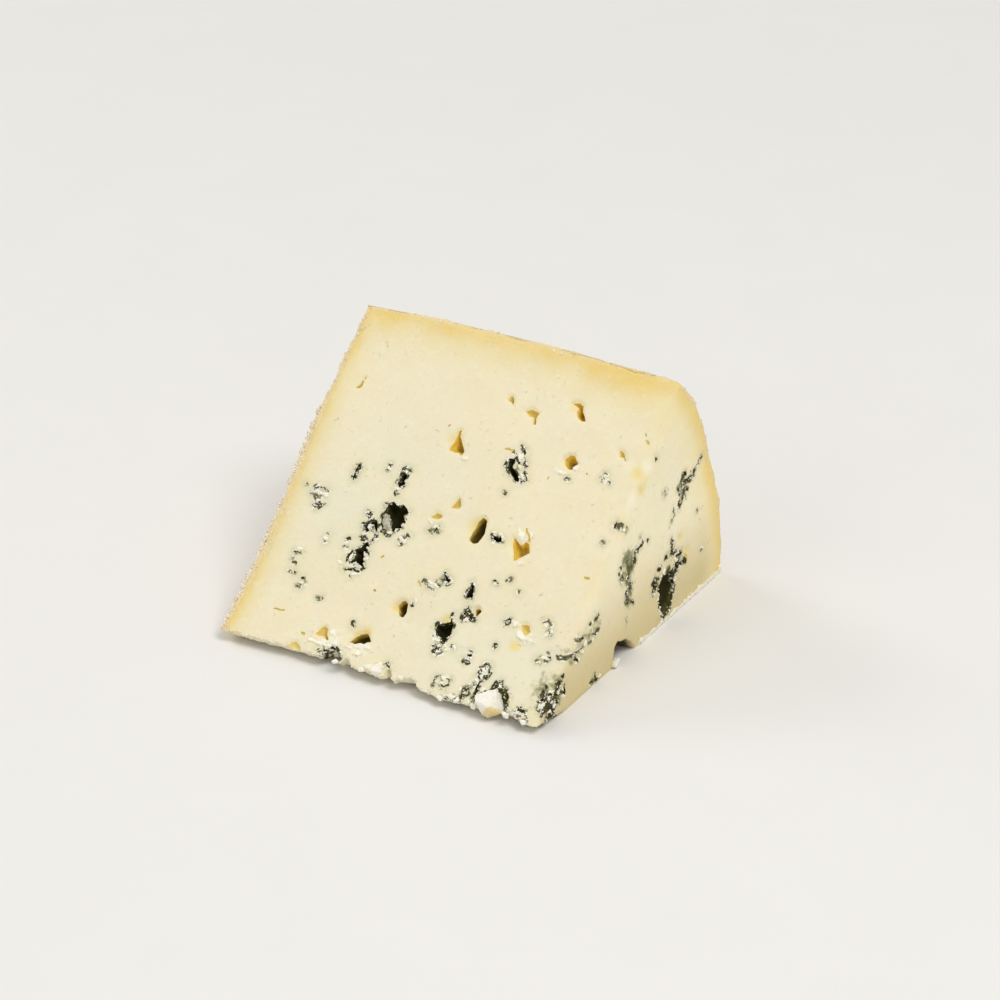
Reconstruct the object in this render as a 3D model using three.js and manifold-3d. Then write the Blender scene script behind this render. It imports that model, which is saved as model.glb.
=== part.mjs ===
// A wedge cut from a drum of natural-rind blue cheese, lying on one of its two radial cuts.
// X runs along the drum's axis, from the flat rind end to the cross cut.
// Y runs from the thin tip, on the drum's axis, to the curved side rind. Z is up.
import * as THREE from 'three';
import { ImprovedNoise } from 'three/addons/math/ImprovedNoise.js';
import { mergeVertices } from 'three/addons/utils/BufferGeometryUtils.js';
import Module from 'manifold-3d';

// Driving dimensions of the wedge, in millimetres
const DRUM_RADIUS = 100;
const LENGTH = 94;
const SLOPE_DEGREES = 41;
const RIND_BULGE = 1.2;
const TIP_LIFT = 2.5;
const TIP_TRIM = 2;
const TIP_THICKNESS = 1;
const UNDERCUT = 14;

// Edges: how softly the slope runs into the cross cut, and how crisp the others are
const SMEARED_EDGE = 5;
const CUT_EDGE = 0.8;
const RIND_EDGE = 1.5;
const CORNER_TRIM = 0.8;
const RIND_FOOT = 1.4;

// Relief: height of the unevenness and the spacing of its bumps
const PASTE_RELIEF = { height: 0.3, spacing: 15 };
const RIND_RELIEF = { height: 0.7, spacing: 8 };
const CUT_RELIEF = { height: 0.45, spacing: 11 };
const POCKET_RAGGEDNESS = 0.4;
const EYE_RAGGEDNESS = 0.12;
const RAGGED_SPACING = 0.7;
const FINER = 2.3;

// How deep each kind of hollow goes, as a share of its narrower side
const EYE_DEPTH = 0.7;
const POCKET_DEPTH = 0.55;
const CUT_POCKET_DEPTH = 0.45;

// How finely the skin is divided
const BASE_STEPS = 5;
const UNDER_STEPS = 3;
const SLOPE_STEPS = 24;
const RIND_STEPS = 13;
const LENGTH_STEPS = 24;
const EDGE_STATIONS = [0, 0.5, 1.6, 4];
const CAP_RINGS = [0.9, 0.72, 0.5, 0.25];
const LARGE_HOLLOW = 40;

// Open eyes on the slope: along the drum's axis, up the slope, width, height, lean in degrees
const SLOPE_EYES = [
  [4, 82.5, 2.2, 2.6, 0],
  [11.2, 80, 4.4, 3.2, -20],
  [23.5, 84, 3, 6.5, 45],
  [-5.4, 67, 4, 6.5, 10],
  [26.5, 70, 4.6, 4, 0],
  [45.5, 72, 4, 3.6, 0],
  [1.2, 51.3, 2.6, 3, 15],
  [9.7, 46, 3.4, 7, 0],
  [22.8, 45, 5, 5, 20],
  [-1.6, 21, 2.6, 4.4, 20],
  [32.8, 24.5, 3.6, 3.8, 30],
  [-8.5, 10.2, 5.2, 3.4, 0],
  [-20, 9, 4, 3, 0],
];

// Mould pockets on the slope, in the same columns
const SLOPE_POCKETS = [
  [-14.3, 44.6, 6.4, 8.4, 10],
  [-16.2, 53.5, 2.2, 4.6, 0],
  [-29.4, 52.5, 1.8, 5, 0],
  [-37, 44.8, 5, 1.8, 0],
  [-19.5, 39, 4, 3.6, 0],
  [-19, 32, 4, 8, 0],
  [12.6, 66, 2.6, 10, 35],
  [6.6, 31, 3.4, 3.4, 0],
  [14.6, 30, 2.2, 4.6, 0],
  [16.8, 24.5, 3.6, 4.4, 0],
  [12, 18, 4, 6, 15],
  [21.4, 14, 2.2, 2.8, 0],
  [26.4, 7.5, 2.6, 11, -15],
  [46, 57.5, 3.4, 2.8, 0],
];

// Mould pockets on the cross cut: back from the drum's axis, up, width, height, lean
const CUT_POCKETS = [
  [68, 9, 5.6, 11, 5],
  [72.8, 13.6, 5.4, 3, -15],
  [61.8, 14.5, 2.6, 7, -20],
  [70.4, 20.5, 2.8, 5, 20],
  [76, 36.4, 3.6, 8.4, -25],
  [83.4, 38, 8, 2, 30],
  [46.2, 27.6, 5.4, 6, 0],
  [47.2, 19.6, 3.2, 8, 0],
  [25, 17, 10, 3, 25],
  [9, 7.2, 10, 4.6, 0],
];

// Bites out of the tip edge: along the axis, radius. Crumbs on it: along, up the slope, radius
const TIP_BITES = [[-15, 3], [3.2, 2.2], [10, 2.8], [24.5, 2.6], [38.5, 3]];
const TIP_CRUMBS = [[33, 3, 3.2], [17.5, 2, 1.8], [-5, 2, 1.8]];

// The hollow broken out of the foot of the cross cut: back, depth, width, height
const FOOT_HOLLOW = { back: 45.5, deep: 9, wide: 6, tall: 7 };

const half = LENGTH / 2;
const slope = THREE.MathUtils.degToRad(SLOPE_DEGREES);
const slopeNormal = new THREE.Vector3(0, -Math.sin(slope), Math.cos(slope));
const perlin = new ImprovedNoise();

const wasm = await Module();
wasm.setup();

// Two octaves of smooth unevenness, between about -1 and 1
function unevenness(x, y, z, spacing) {
  const coarse = perlin.noise(x / spacing, y / spacing, z / spacing);
  const step = spacing / FINER;
  const fine = perlin.noise(x / step, y / step, z / step);
  return coarse + 0.5 * fine;
}

// How far a rounded edge of a given radius falls away at a distance from the end
function edgeFall(radius, distance) {
  const into = Math.max(0, radius - distance);
  return radius - Math.sqrt(radius * radius - into * into);
}

function slopeDrop(x) {
  return edgeFall(SMEARED_EDGE, half - x) + edgeFall(CUT_EDGE, half + x);
}

function rindRadius(x) {
  const bulge = RIND_BULGE * (1 - (x / half) ** 2);
  return DRUM_RADIUS + bulge - edgeFall(RIND_EDGE, half - x) - edgeFall(RIND_EDGE, half + x);
}

// A point of the skin, pushed along its outward normal by the relief
function raised(x, y, z, normalY, normalZ, relief) {
  const push = relief.height * unevenness(x, y, z, relief.spacing);
  return new THREE.Vector3(x, y + normalY * push, z + normalZ * push);
}

// One cross-section at x: base, undercut, slope and rind, as a closed ring of points
function section(x) {
  const radius = rindRadius(x);
  const rise = TIP_LIFT - slopeDrop(x) / Math.cos(slope);
  const top = Math.sqrt(radius ** 2 - (rise * Math.cos(slope)) ** 2) - rise * Math.sin(slope);
  const topAngle = Math.atan2(rise + top * Math.sin(slope), top * Math.cos(slope));
  const tip = TIP_TRIM + (TIP_LIFT - rise) / Math.sin(slope);
  const tipY = tip * Math.cos(slope);
  const tipUnder = rise + tip * Math.sin(slope) - TIP_THICKNESS;
  const ring = [];
  for (let i = 0; i <= BASE_STEPS; i++) {
    const y = THREE.MathUtils.lerp(radius - RIND_FOOT / 2, UNDERCUT, i / BASE_STEPS);
    ring.push(new THREE.Vector3(x, y, 0));
  }
  for (let i = 1; i <= UNDER_STEPS; i++) {
    const y = THREE.MathUtils.lerp(UNDERCUT, tipY, i / UNDER_STEPS);
    ring.push(new THREE.Vector3(x, y, tipUnder * (i / UNDER_STEPS) ** 1.5));
  }
  for (let i = 0; i <= SLOPE_STEPS; i++) {
    const up = THREE.MathUtils.lerp(tip, top - CORNER_TRIM, i / SLOPE_STEPS);
    const y = up * Math.cos(slope);
    const z = rise + up * Math.sin(slope);
    ring.push(raised(x, y, z, slopeNormal.y, slopeNormal.z, PASTE_RELIEF));
  }
  for (let i = 0; i <= RIND_STEPS; i++) {
    const from = topAngle - CORNER_TRIM / radius;
    const angle = THREE.MathUtils.lerp(from, RIND_FOOT / radius, i / RIND_STEPS);
    const y = radius * Math.cos(angle);
    const z = radius * Math.sin(angle);
    ring.push(raised(x, y, z, Math.cos(angle), Math.sin(angle), RIND_RELIEF));
  }
  return ring;
}

// Rings that close an end, shrinking to its middle, with the relief of its surface
function endRings(outer, relief) {
  const middle = new THREE.Vector3();
  outer.forEach((point) => middle.add(point));
  middle.divideScalar(outer.length);
  return CAP_RINGS.map((scale) => outer.map((point) => {
    const inner = middle.clone().lerp(point, scale);
    inner.x += relief.height * unevenness(inner.x, inner.y, inner.z, relief.spacing);
    return inner;
  }));
}

function stationPositions() {
  const edge = EDGE_STATIONS.at(-1);
  const between = Array.from({ length: LENGTH_STEPS - 1 }, (_, i) => (
    THREE.MathUtils.lerp(-half + edge, half - edge, (i + 1) / LENGTH_STEPS)
  ));
  return [
    ...EDGE_STATIONS.map((step) => -half + step),
    ...between,
    ...EDGE_STATIONS.toReversed().map((step) => half - step),
  ];
}

// A closed skin over a stack of rings, with a fan at each end
function skinOver(rings) {
  const count = rings[0].length;
  const points = rings.flat();
  const index = [];
  for (let r = 0; r + 1 < rings.length; r++) {
    for (let i = 0; i < count; i++) {
      const next = (i + 1) % count;
      const a = r * count + i;
      const b = r * count + next;
      index.push(a, a + count, b, b, a + count, b + count);
    }
  }
  for (const [ring, turned] of [[0, false], [rings.length - 1, true]]) {
    const middle = new THREE.Vector3();
    rings[ring].forEach((point) => middle.add(point));
    points.push(middle.divideScalar(count));
    for (let i = 0; i < count; i++) {
      const a = ring * count + i;
      const b = ring * count + (i + 1) % count;
      index.push(points.length - 1, turned ? b : a, turned ? a : b);
    }
  }
  const geometry = new THREE.BufferGeometry().setFromPoints(points);
  geometry.setIndex(index);
  return geometry;
}

// A shape with its positions alone, and its shared corners merged
function bareGeometry(geometry) {
  const bare = geometry.clone();
  bare.deleteAttribute('normal');
  bare.deleteAttribute('uv');
  return mergeVertices(bare);
}

function toSolid(geometry) {
  const merged = bareGeometry(geometry);
  return new wasm.Manifold(new wasm.Mesh({
    numProp: 3,
    vertProperties: new Float32Array(merged.attributes.position.array),
    triVerts: new Uint32Array(merged.index.array),
  }));
}

function toGeometry(solid) {
  const mesh = solid.getMesh();
  const geometry = new THREE.BufferGeometry();
  geometry.setAttribute('position', new THREE.BufferAttribute(mesh.vertProperties, 3));
  geometry.setIndex(new THREE.BufferAttribute(mesh.triVerts, 1));
  return geometry;
}

// A ragged ball, uneven by a share of its radius, that differs with its seed
function raggedBall(seed, raggedness, detail) {
  const ball = bareGeometry(new THREE.IcosahedronGeometry(1, detail));
  const place = ball.attributes.position;
  const point = new THREE.Vector3();
  for (let i = 0; i < place.count; i++) {
    point.fromBufferAttribute(place, i);
    point.multiplyScalar(1 + raggedness * unevenness(point.x + seed, point.y, point.z, RAGGED_SPACING));
    place.setXYZ(i, point.x, point.y, point.z);
  }
  return ball;
}

// A hollow's shape, set on a surface: width across, height up it, depth along its normal
function hollowOn(across, upward, centre, [, , wide, tall, lean], deep, raggedness) {
  const normal = new THREE.Vector3().crossVectors(across, upward);
  const detail = wide * tall > LARGE_HOLLOW ? 2 : 1;
  const ball = raggedBall(centre.x + centre.y, raggedness, detail);
  ball.scale(wide / 2, tall / 2, deep);
  ball.rotateZ(THREE.MathUtils.degToRad(lean));
  ball.applyMatrix4(new THREE.Matrix4().makeBasis(across, upward, normal));
  ball.translate(centre.x, centre.y, centre.z);
  return toSolid(ball);
}

function slopePoint(x, up) {
  return new THREE.Vector3(x, up * Math.cos(slope), TIP_LIFT + up * Math.sin(slope));
}

function slopeHollow(row, depthShare, raggedness) {
  const across = new THREE.Vector3(1, 0, 0);
  const upward = new THREE.Vector3(0, Math.cos(slope), Math.sin(slope));
  const [x, up, wide, tall] = row;
  const centre = slopePoint(x, up);
  centre.addScaledVector(slopeNormal, -slopeDrop(Math.min(x, half)));
  return hollowOn(across, upward, centre, row, depthShare * Math.min(wide, tall), raggedness);
}

function cutHollow(row) {
  const across = new THREE.Vector3(0, 1, 0);
  const upward = new THREE.Vector3(0, 0, 1);
  const [back, up, wide, tall] = row;
  const centre = new THREE.Vector3(half, back, up);
  return hollowOn(across, upward, centre, row, CUT_POCKET_DEPTH * Math.min(wide, tall), POCKET_RAGGEDNESS);
}

function ballAt(centre, radius) {
  const ball = raggedBall(centre.x, POCKET_RAGGEDNESS, 1);
  ball.scale(radius, radius, radius);
  ball.translate(centre.x, centre.y, centre.z);
  return toSolid(ball);
}

function footHollow({ back, deep, wide, tall }) {
  const ball = raggedBall(back, EYE_RAGGEDNESS, 2);
  ball.scale(deep, wide, tall);
  ball.translate(half, back, 0);
  return toSolid(ball);
}

function wedgeGeometry() {
  const sections = stationPositions().map(section);
  const rindEnd = endRings(sections[0], RIND_RELIEF).toReversed();
  const cutEnd = endRings(sections.at(-1), CUT_RELIEF);
  let solid = toSolid(skinOver([...rindEnd, ...sections, ...cutEnd]));
  for (const row of SLOPE_EYES) {
    solid = solid.subtract(slopeHollow(row, EYE_DEPTH, EYE_RAGGEDNESS));
  }
  for (const row of SLOPE_POCKETS) {
    solid = solid.subtract(slopeHollow(row, POCKET_DEPTH, POCKET_RAGGEDNESS));
  }
  for (const row of CUT_POCKETS) {
    solid = solid.subtract(cutHollow(row));
  }
  for (const [x, radius] of TIP_BITES) {
    solid = solid.subtract(ballAt(slopePoint(x, TIP_TRIM), radius));
  }
  solid = solid.subtract(footHollow(FOOT_HOLLOW));
  for (const [x, up, radius] of TIP_CRUMBS) {
    solid = solid.add(ballAt(slopePoint(x, up).addScaledVector(slopeNormal, -radius / 3), radius));
  }
  return toGeometry(solid);
}

// The origin is at the middle of the base
function seatAtOrigin(geometry) {
  geometry.computeBoundingBox();
  const { min, max } = geometry.boundingBox;
  geometry.translate(-(min.x + max.x) / 2, -(min.y + max.y) / 2, -min.z);
  geometry.computeVertexNormals();
  return geometry;
}

const paste = new THREE.MeshStandardMaterial({ color: 0xede4c7, roughness: 0.45, metalness: 0 });
const wedge = new THREE.Mesh(seatAtOrigin(wedgeGeometry()), paste);
wedge.name = 'cheese_wedge';

const cheese = new THREE.Group();
cheese.add(wedge);

export default cheese;
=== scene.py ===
"""A wedge of natural-rind blue cheese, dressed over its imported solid.

The paste is a sector of a drum with its eyes, mould pockets and broken tip cut out of it and flakes raised
round the mould. The rind is a thin crust over the drum's side and round end. Crumbs and grains are joined
meshes of small lumps. Places on a face are in millimetres: along the face, then up it.
"""

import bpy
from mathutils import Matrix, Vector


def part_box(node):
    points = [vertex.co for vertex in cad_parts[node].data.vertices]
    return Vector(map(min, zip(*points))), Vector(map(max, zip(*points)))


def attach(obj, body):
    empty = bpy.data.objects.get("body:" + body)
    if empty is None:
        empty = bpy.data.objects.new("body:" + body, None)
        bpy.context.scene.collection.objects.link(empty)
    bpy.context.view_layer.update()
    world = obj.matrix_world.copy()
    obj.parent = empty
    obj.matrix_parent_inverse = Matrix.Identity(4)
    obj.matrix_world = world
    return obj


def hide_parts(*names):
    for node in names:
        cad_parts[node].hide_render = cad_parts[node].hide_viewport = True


bl_info = {
    "name": "Blue Cheese Wedge",
    "version": (1, 0, 0),
    "blender": (4, 5, 0),
    "location": "View3D > Sidebar > Cheese",
    "description": "Models a wedge of blue cheese with its rind, mould, crumbs and stage",
    "category": "Object",
}

import math

import bmesh
import bpy
import numpy as np
from mathutils import Matrix, Vector
from mathutils.bvhtree import BVHTree

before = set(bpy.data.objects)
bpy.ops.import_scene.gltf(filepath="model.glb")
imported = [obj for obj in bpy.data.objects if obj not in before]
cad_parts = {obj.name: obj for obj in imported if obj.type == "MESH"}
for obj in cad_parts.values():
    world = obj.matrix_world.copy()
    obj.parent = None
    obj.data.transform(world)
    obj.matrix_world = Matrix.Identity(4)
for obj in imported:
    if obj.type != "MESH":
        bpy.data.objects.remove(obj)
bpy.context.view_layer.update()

MM = 0.001
LOW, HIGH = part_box("cheese_wedge")
DRUM_AXIS = Vector(((LOW.x + HIGH.x) / 2 + 0.15 * MM, LOW.y + 0.25 * MM, 0))

# Fineness of the meshes and the finishes, and how near counts as touching
SPIN_STEPS = 24
EDGE_SEGMENTS = 6
WEIGHT_STEPS = 20
CUTTER_VOXEL = 0.4 * MM
RIND_VOXEL = 0.45 * MM
CRUMB_VOXEL = 0.2 * MM
CRUMB_TRIANGLES = 60000
SMOOTH_ANGLE = math.radians(42)
TOUCH = 0.1 * MM
BUMP_HEIGHT = 0.3 * MM

# How a hollow narrows: shares of its depth, and how far it is drawn together after each
HOLLOW_STEPS = ((0.3, 0.95), (0.4, 0.78), (0.3, 0.45))

# Tubes of the veins and slits: levels in the surface, drift, least and largest width, and thinner ends
VEIN_SEED = 11
VEIN_LEVELS = (0.3, 0.05, -0.2)
VEIN_DRIFT = 0.12
VEIN_SWELL = (0.38, 0.62)
VEIN_TAPER = 0.55

# The part of the slope whose eyes and mould the face on the ground repeats
HIDDEN_ALONG = 42
HIDDEN_UP = (18, 92)

# Planes that chip the corners off a crumb's cube: a point on each, and the way it faces
CRUMB_CHIPS = (
    ((0.55, -0.55, 0.3), (1, -1, 0.6)),
    ((-0.5, -0.6, 0.2), (-1, -1, 0.4)),
)

# Grains: how far inside the drum they start, and for each edge how many, with least and largest radius
GRAIN_SEED = 7
GRAIN_INSET = 1.2
GRAINS = {
    "left": (340, (0.14, 0.38)),
    "lumps": (60, (0.28, 0.56)),
    "end": (340, (0.16, 0.4)),
    "top": (320, (0.16, 0.46)),
    "skin": (90, (0.1, 0.2)),
    "cut": (160, (0.12, 0.3)),
    "foot": (34, (0.12, 0.36)),
    "tip": (220, (0.12, 0.34)),
}
VEIN_GRAIN = (0.16, 0.34)
POCKET_GRAIN = (0.2, 0.46)

# Soft lights: name, place, size and colour
LIGHTS = (
    ("key", (1.05, -0.35, 1.9), 1.10, (1.0, 0.98, 0.95)),
    ("fill", (-1.05, -2.25, 1.65), 1.80, (0.97, 0.98, 1.0)),
    ("side", (-1.60, 0.20, 1.20), 1.20, (1.0, 0.98, 0.95)),
)
LIGHT_TARGET = Vector((0, 0, 0.03))
SENSOR_WIDTH = 36

# Open eyes on the slope: depth, then the corners of the mouth
SLOPE_EYES = (
    (1.1, (-38.9, 78.3), (-38.2, 78.0), (-38.5, 75.6), (-38.9, 74.7), (-40.0, 74.5), (-39.3, 75.8),
          (-39.1, 77.2)),
    (1.3, (3.0, 83.2), (3.7, 83.3), (4.4, 82.4), (4.9, 80.9), (4.0, 81.6), (2.8, 82.2)),
    (1.6, (8.8, 80.3), (10.2, 81.3), (12.5, 80.7), (12.4, 79.2), (12.9, 77.4), (12.3, 77.2), (11.7, 79.2),
          (10.3, 79.3)),
    (2.2, (20.2, 85.6), (21.8, 86.2), (23.3, 85.7), (24.0, 84.0), (25.9, 81.6), (24.8, 81.3),
          (23.3, 82.2), (22.2, 83.7), (22.6, 84.8)),
    (2.2, (-6.8, 70.6), (-6.1, 70.8), (-6.1, 69.3), (-5.2, 68.3), (-2.8, 65.3), (-3.4, 64.2),
          (-4.3, 64.9), (-5.5, 64.5), (-7.2, 64.9), (-7.3, 66.0), (-7.0, 68.0)),
    (2.7, (24.2, 70.6), (25.2, 71.9), (26.6, 72.0), (28.6, 70.1), (27.6, 69.3), (27.4, 68.2),
          (26.5, 68.1), (25.2, 69.0)),
    (1.2, (38.0, 76.4), (39.3, 76.2), (40.0, 75.2), (41.0, 73.9), (40.5, 73.9), (39.8, 74.8),
          (38.6, 74.6)),
    (1.3, (0.8, 53.0), (1.5, 52.8), (2.4, 50.9), (1.6, 50.2), (-0.3, 50.0), (0.1, 50.9)),
    (1.2, (-4.8, 46.3), (-4.0, 46.9), (-3.8, 47.7), (-2.4, 47.7), (-1.4, 47.2), (-2.2, 46.4),
          (-3.4, 46.1)),
    (4.4, (8.4, 48.6), (9.4, 49.8), (10.8, 49.2), (11.3, 47.0), (11.6, 45.7), (11.3, 44.0), (10.8, 42.9),
          (9.8, 42.5), (8.1, 43.2), (8.1, 45.5)),
    (2.2, (19.7, 47.0), (21.2, 46.0), (22.8, 45.2), (23.3, 46.5), (24.5, 46.3), (25.5, 44.0),
          (22.4, 40.9), (21.4, 43.0), (20.3, 44.6)),
    (3.4, (-1.9, 23.2), (-1.0, 22.5), (-0.3, 20.0), (-0.7, 18.7), (-1.8, 18.8), (-2.9, 20.2),
          (-3.8, 21.6), (-3.0, 22.8)),
    (1.1, (31.0, 25.4), (32.4, 26.0), (33.4, 25.6), (34.2, 24.4), (33.3, 23.0), (32.2, 23.6)),
    (4.0, (-11.6, 8.4), (-11.0, 10.2), (-10.0, 11.4), (-8.4, 12.1), (-7.4, 11.4), (-6.0, 10.0),
          (-7.0, 9.7), (-7.6, 8.9), (-9.0, 9.0), (-10.2, 8.2)),
    (1.5, (-21.6, 7.8), (-21.0, 9.6), (-20.0, 10.7), (-19.0, 10.0), (-18.6, 8.6), (-17.3, 7.3),
          (-18.0, 7.0), (-19.2, 8.0), (-20.4, 7.6)),
    (3.2, (17.4, 26.0), (18.2, 26.6), (19.4, 26.0), (19.4, 25.4), (18.6, 24.2), (17.8, 25.0)),
    (0.9, (-27.8, 2.6), (-26.8, 4.0), (-25.6, 4.4), (-24.3, 3.6), (-23.5, 2.5), (-25.6, 2.0)),
)

# How far eyes of some depths count as deep bowls, which are amber rather than olive and take the painted
# shade from nearer the mouth
EYE_DEPTHS = (1.35, 1.7, 2.0, 2.7, 3.0)
EYE_BOWLS = (0.2, 0.28, 0.5, 0.5, 1)

# Small eyes and slits on the slope and the cross cut: width, then the points of the stroke
SLOPE_SLITS = (
    (0.6, (43.2, 82.2), (43.8, 81.4)), (0.7, (44.2, 80.4), (45.2, 79.6)),
    (0.7, (31.7, 20.6), (33.4, 20.1)), (0.9, (-25.6, 7.0), (-24.2, 6.8)),
    (0.6, (-36.0, 11.3), (-34.0, 11.1), (-32.8, 11.8)), (1.0, (-10.1, 71.3), (-9.8, 70.9)),
    (0.7, (-11.6, 23.4), (-10.6, 23.2)), (0.9, (42.6, 41.6), (43.9, 41.4)),
    (0.6, (22.0, 65.0), (22.4, 63.8)), (0.8, (31.9, 68.3), (32.1, 67.7)),
    (0.8, (-12.6, 32.6), (-13.1, 31.9)), (0.7, (22.0, 50.0), (23.6, 48.2), (24.6, 46.6)),
    (0.6, (-1.1, 28.7), (-0.2, 28.7), (0.6, 27.8)), (0.7, (47.6, 76.8), (48.3, 76.2), (48.1, 75.6)),
    (0.7, (7.9, 68.8), (9.0, 68.9), (10.2, 69.1)),
)
CUT_SLITS = (
    (0.8, (77.4, 15.6), (79.2, 13.8)),
)

# Soft yellow dents: how far from the face they reach, then along, up, radius and depth of each
DENT_REACH = 6
SLOPE_DENTS = (
    (45.3, 71.8, 2.2, 0.7), (48.6, 67.6, 1.6, 0.5), (31.6, 19.6, 1.8, 0.5), (-3.8, 20.7, 1.4, 0.6),
    (-8.4, 12.2, 1.8, 0.4), (11.2, 21.4, 1.8, 0.3),
)
CUT_DENTS = (
    (54.0, 45.0, 2.0, 0.5), (78.4, 16.4, 1.4, 0.4), (74.4, 22.3, 1.5, 0.5),
)

# Mould pockets on the slope: depth, then the corners of the mouth
SLOPE_POCKETS = (
    (5.5, (-18.2, 45.4), (-17.0, 46.6), (-15.8, 47.3), (-14.6, 46.5), (-13.2, 47.3), (-12.2, 46.6),
          (-11.0, 45.6), (-12.1, 44.6), (-11.0, 43.2), (-12.0, 42.2), (-10.8, 41.3), (-12.4, 41.2),
          (-12.8, 39.8), (-13.8, 40.3), (-14.3, 41.8), (-15.4, 43.1), (-17.2, 44.0)),
    (4.5, (-17.4, 55.3), (-16.4, 55.7), (-15.6, 55.0), (-15.4, 53.0), (-15.9, 51.6), (-16.6, 51.7),
          (-17.5, 52.4), (-17.0, 53.6)),
    (2.2, (-30.0, 54.3), (-29.4, 54.6), (-28.7, 53.6), (-29.2, 53.2), (-29.4, 52.3), (-29.0, 51.0),
          (-29.7, 50.1), (-30.1, 51.5), (-30.1, 53.0)),
    (3.2, (-22.6, 43.1), (-21.8, 42.9), (-20.8, 43.5), (-21.1, 42.5), (-21.2, 42.0), (-22.2, 42.1)),
    (2.6, (-20.6, 41.2), (-19.0, 41.4), (-17.9, 40.5), (-17.4, 38.8), (-18.0, 38.2), (-18.7, 39.6),
          (-19.6, 40.2), (-20.2, 39.4), (-19.2, 38.3), (-20.2, 37.6), (-21.3, 38.2), (-22.0, 39.6),
          (-21.0, 39.8), (-20.4, 40.6)),
    (4.8, (-19.2, 35.0), (-18.0, 34.8), (-17.9, 33.6), (-18.4, 32.4), (-18.0, 31.2), (-17.6, 30.0),
          (-16.6, 28.5), (-18.0, 28.7), (-19.3, 29.4), (-20.4, 28.6), (-21.2, 28.4), (-20.6, 30.0),
          (-20.4, 31.6), (-21.3, 32.4), (-20.0, 33.0)),
    (2.2, (-24.7, 34.1), (-24.0, 34.9), (-23.5, 34.4), (-24.2, 33.9)),
    (1.8, (-37.4, 25.6), (-36.4, 26.1), (-35.8, 26.1), (-36.6, 25.4)),
    (1.4, (-10.2, 37.2), (-9.6, 37.6), (-8.7, 36.9), (-9.6, 36.7)),
    (3.4, (10.0, 66.4), (11.5, 66.8), (12.2, 65.6), (11.6, 64.9), (12.8, 64.2), (14.0, 63.0),
          (15.3, 61.2), (13.6, 61.5), (12.0, 62.7), (10.8, 63.8), (10.1, 64.3)),
    (3.2, (13.7, 46.2), (14.6, 45.8), (15.8, 45.6), (16.6, 46.4), (16.8, 45.5), (17.6, 44.7),
          (15.8, 44.4), (14.9, 44.7), (14.2, 45.4)),
    (2.4, (5.5, 32.4), (6.0, 32.7), (7.0, 31.8), (7.9, 31.8), (8.2, 30.8), (7.4, 29.8), (7.0, 30.6),
          (6.2, 31.2)),
    (4.4, (14.1, 32.2), (14.8, 31.6), (15.4, 30.4), (15.5, 29.2), (15.7, 28.4), (14.2, 28.0),
          (13.7, 28.6), (13.9, 30.0), (13.9, 31.0)),
    (5.0, (9.2, 19.4), (10.4, 19.6), (12.2, 20.8), (13.2, 20.9), (13.8, 20.0), (13.9, 18.0), (13.4, 16.2),
          (13.5, 14.9), (12.6, 15.4), (11.8, 16.4), (10.4, 16.4), (9.8, 17.6)),
    (3.4, (20.6, 14.3), (22.0, 14.4), (22.1, 13.3), (20.9, 13.2)),
    (2.4, (16.2, 24.5), (17.0, 24.2), (17.8, 23.2), (17.2, 22.9), (16.4, 23.6)),
    (2.6, (-16.2, 4.7), (-15.0, 5.9), (-13.6, 5.3), (-12.2, 4.3), (-11.4, 2.6), (-13.5, 1.6),
          (-15.6, 3.0)),
    (1.8, (29.4, 4.6), (31.5, 6.8), (34.6, 7.9), (36.3, 6.2), (36.8, 2.8), (36.2, 0.6), (35.0, 0.8),
          (34.6, 3.4), (33.0, 4.8), (31.0, 4.2)),
)

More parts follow.
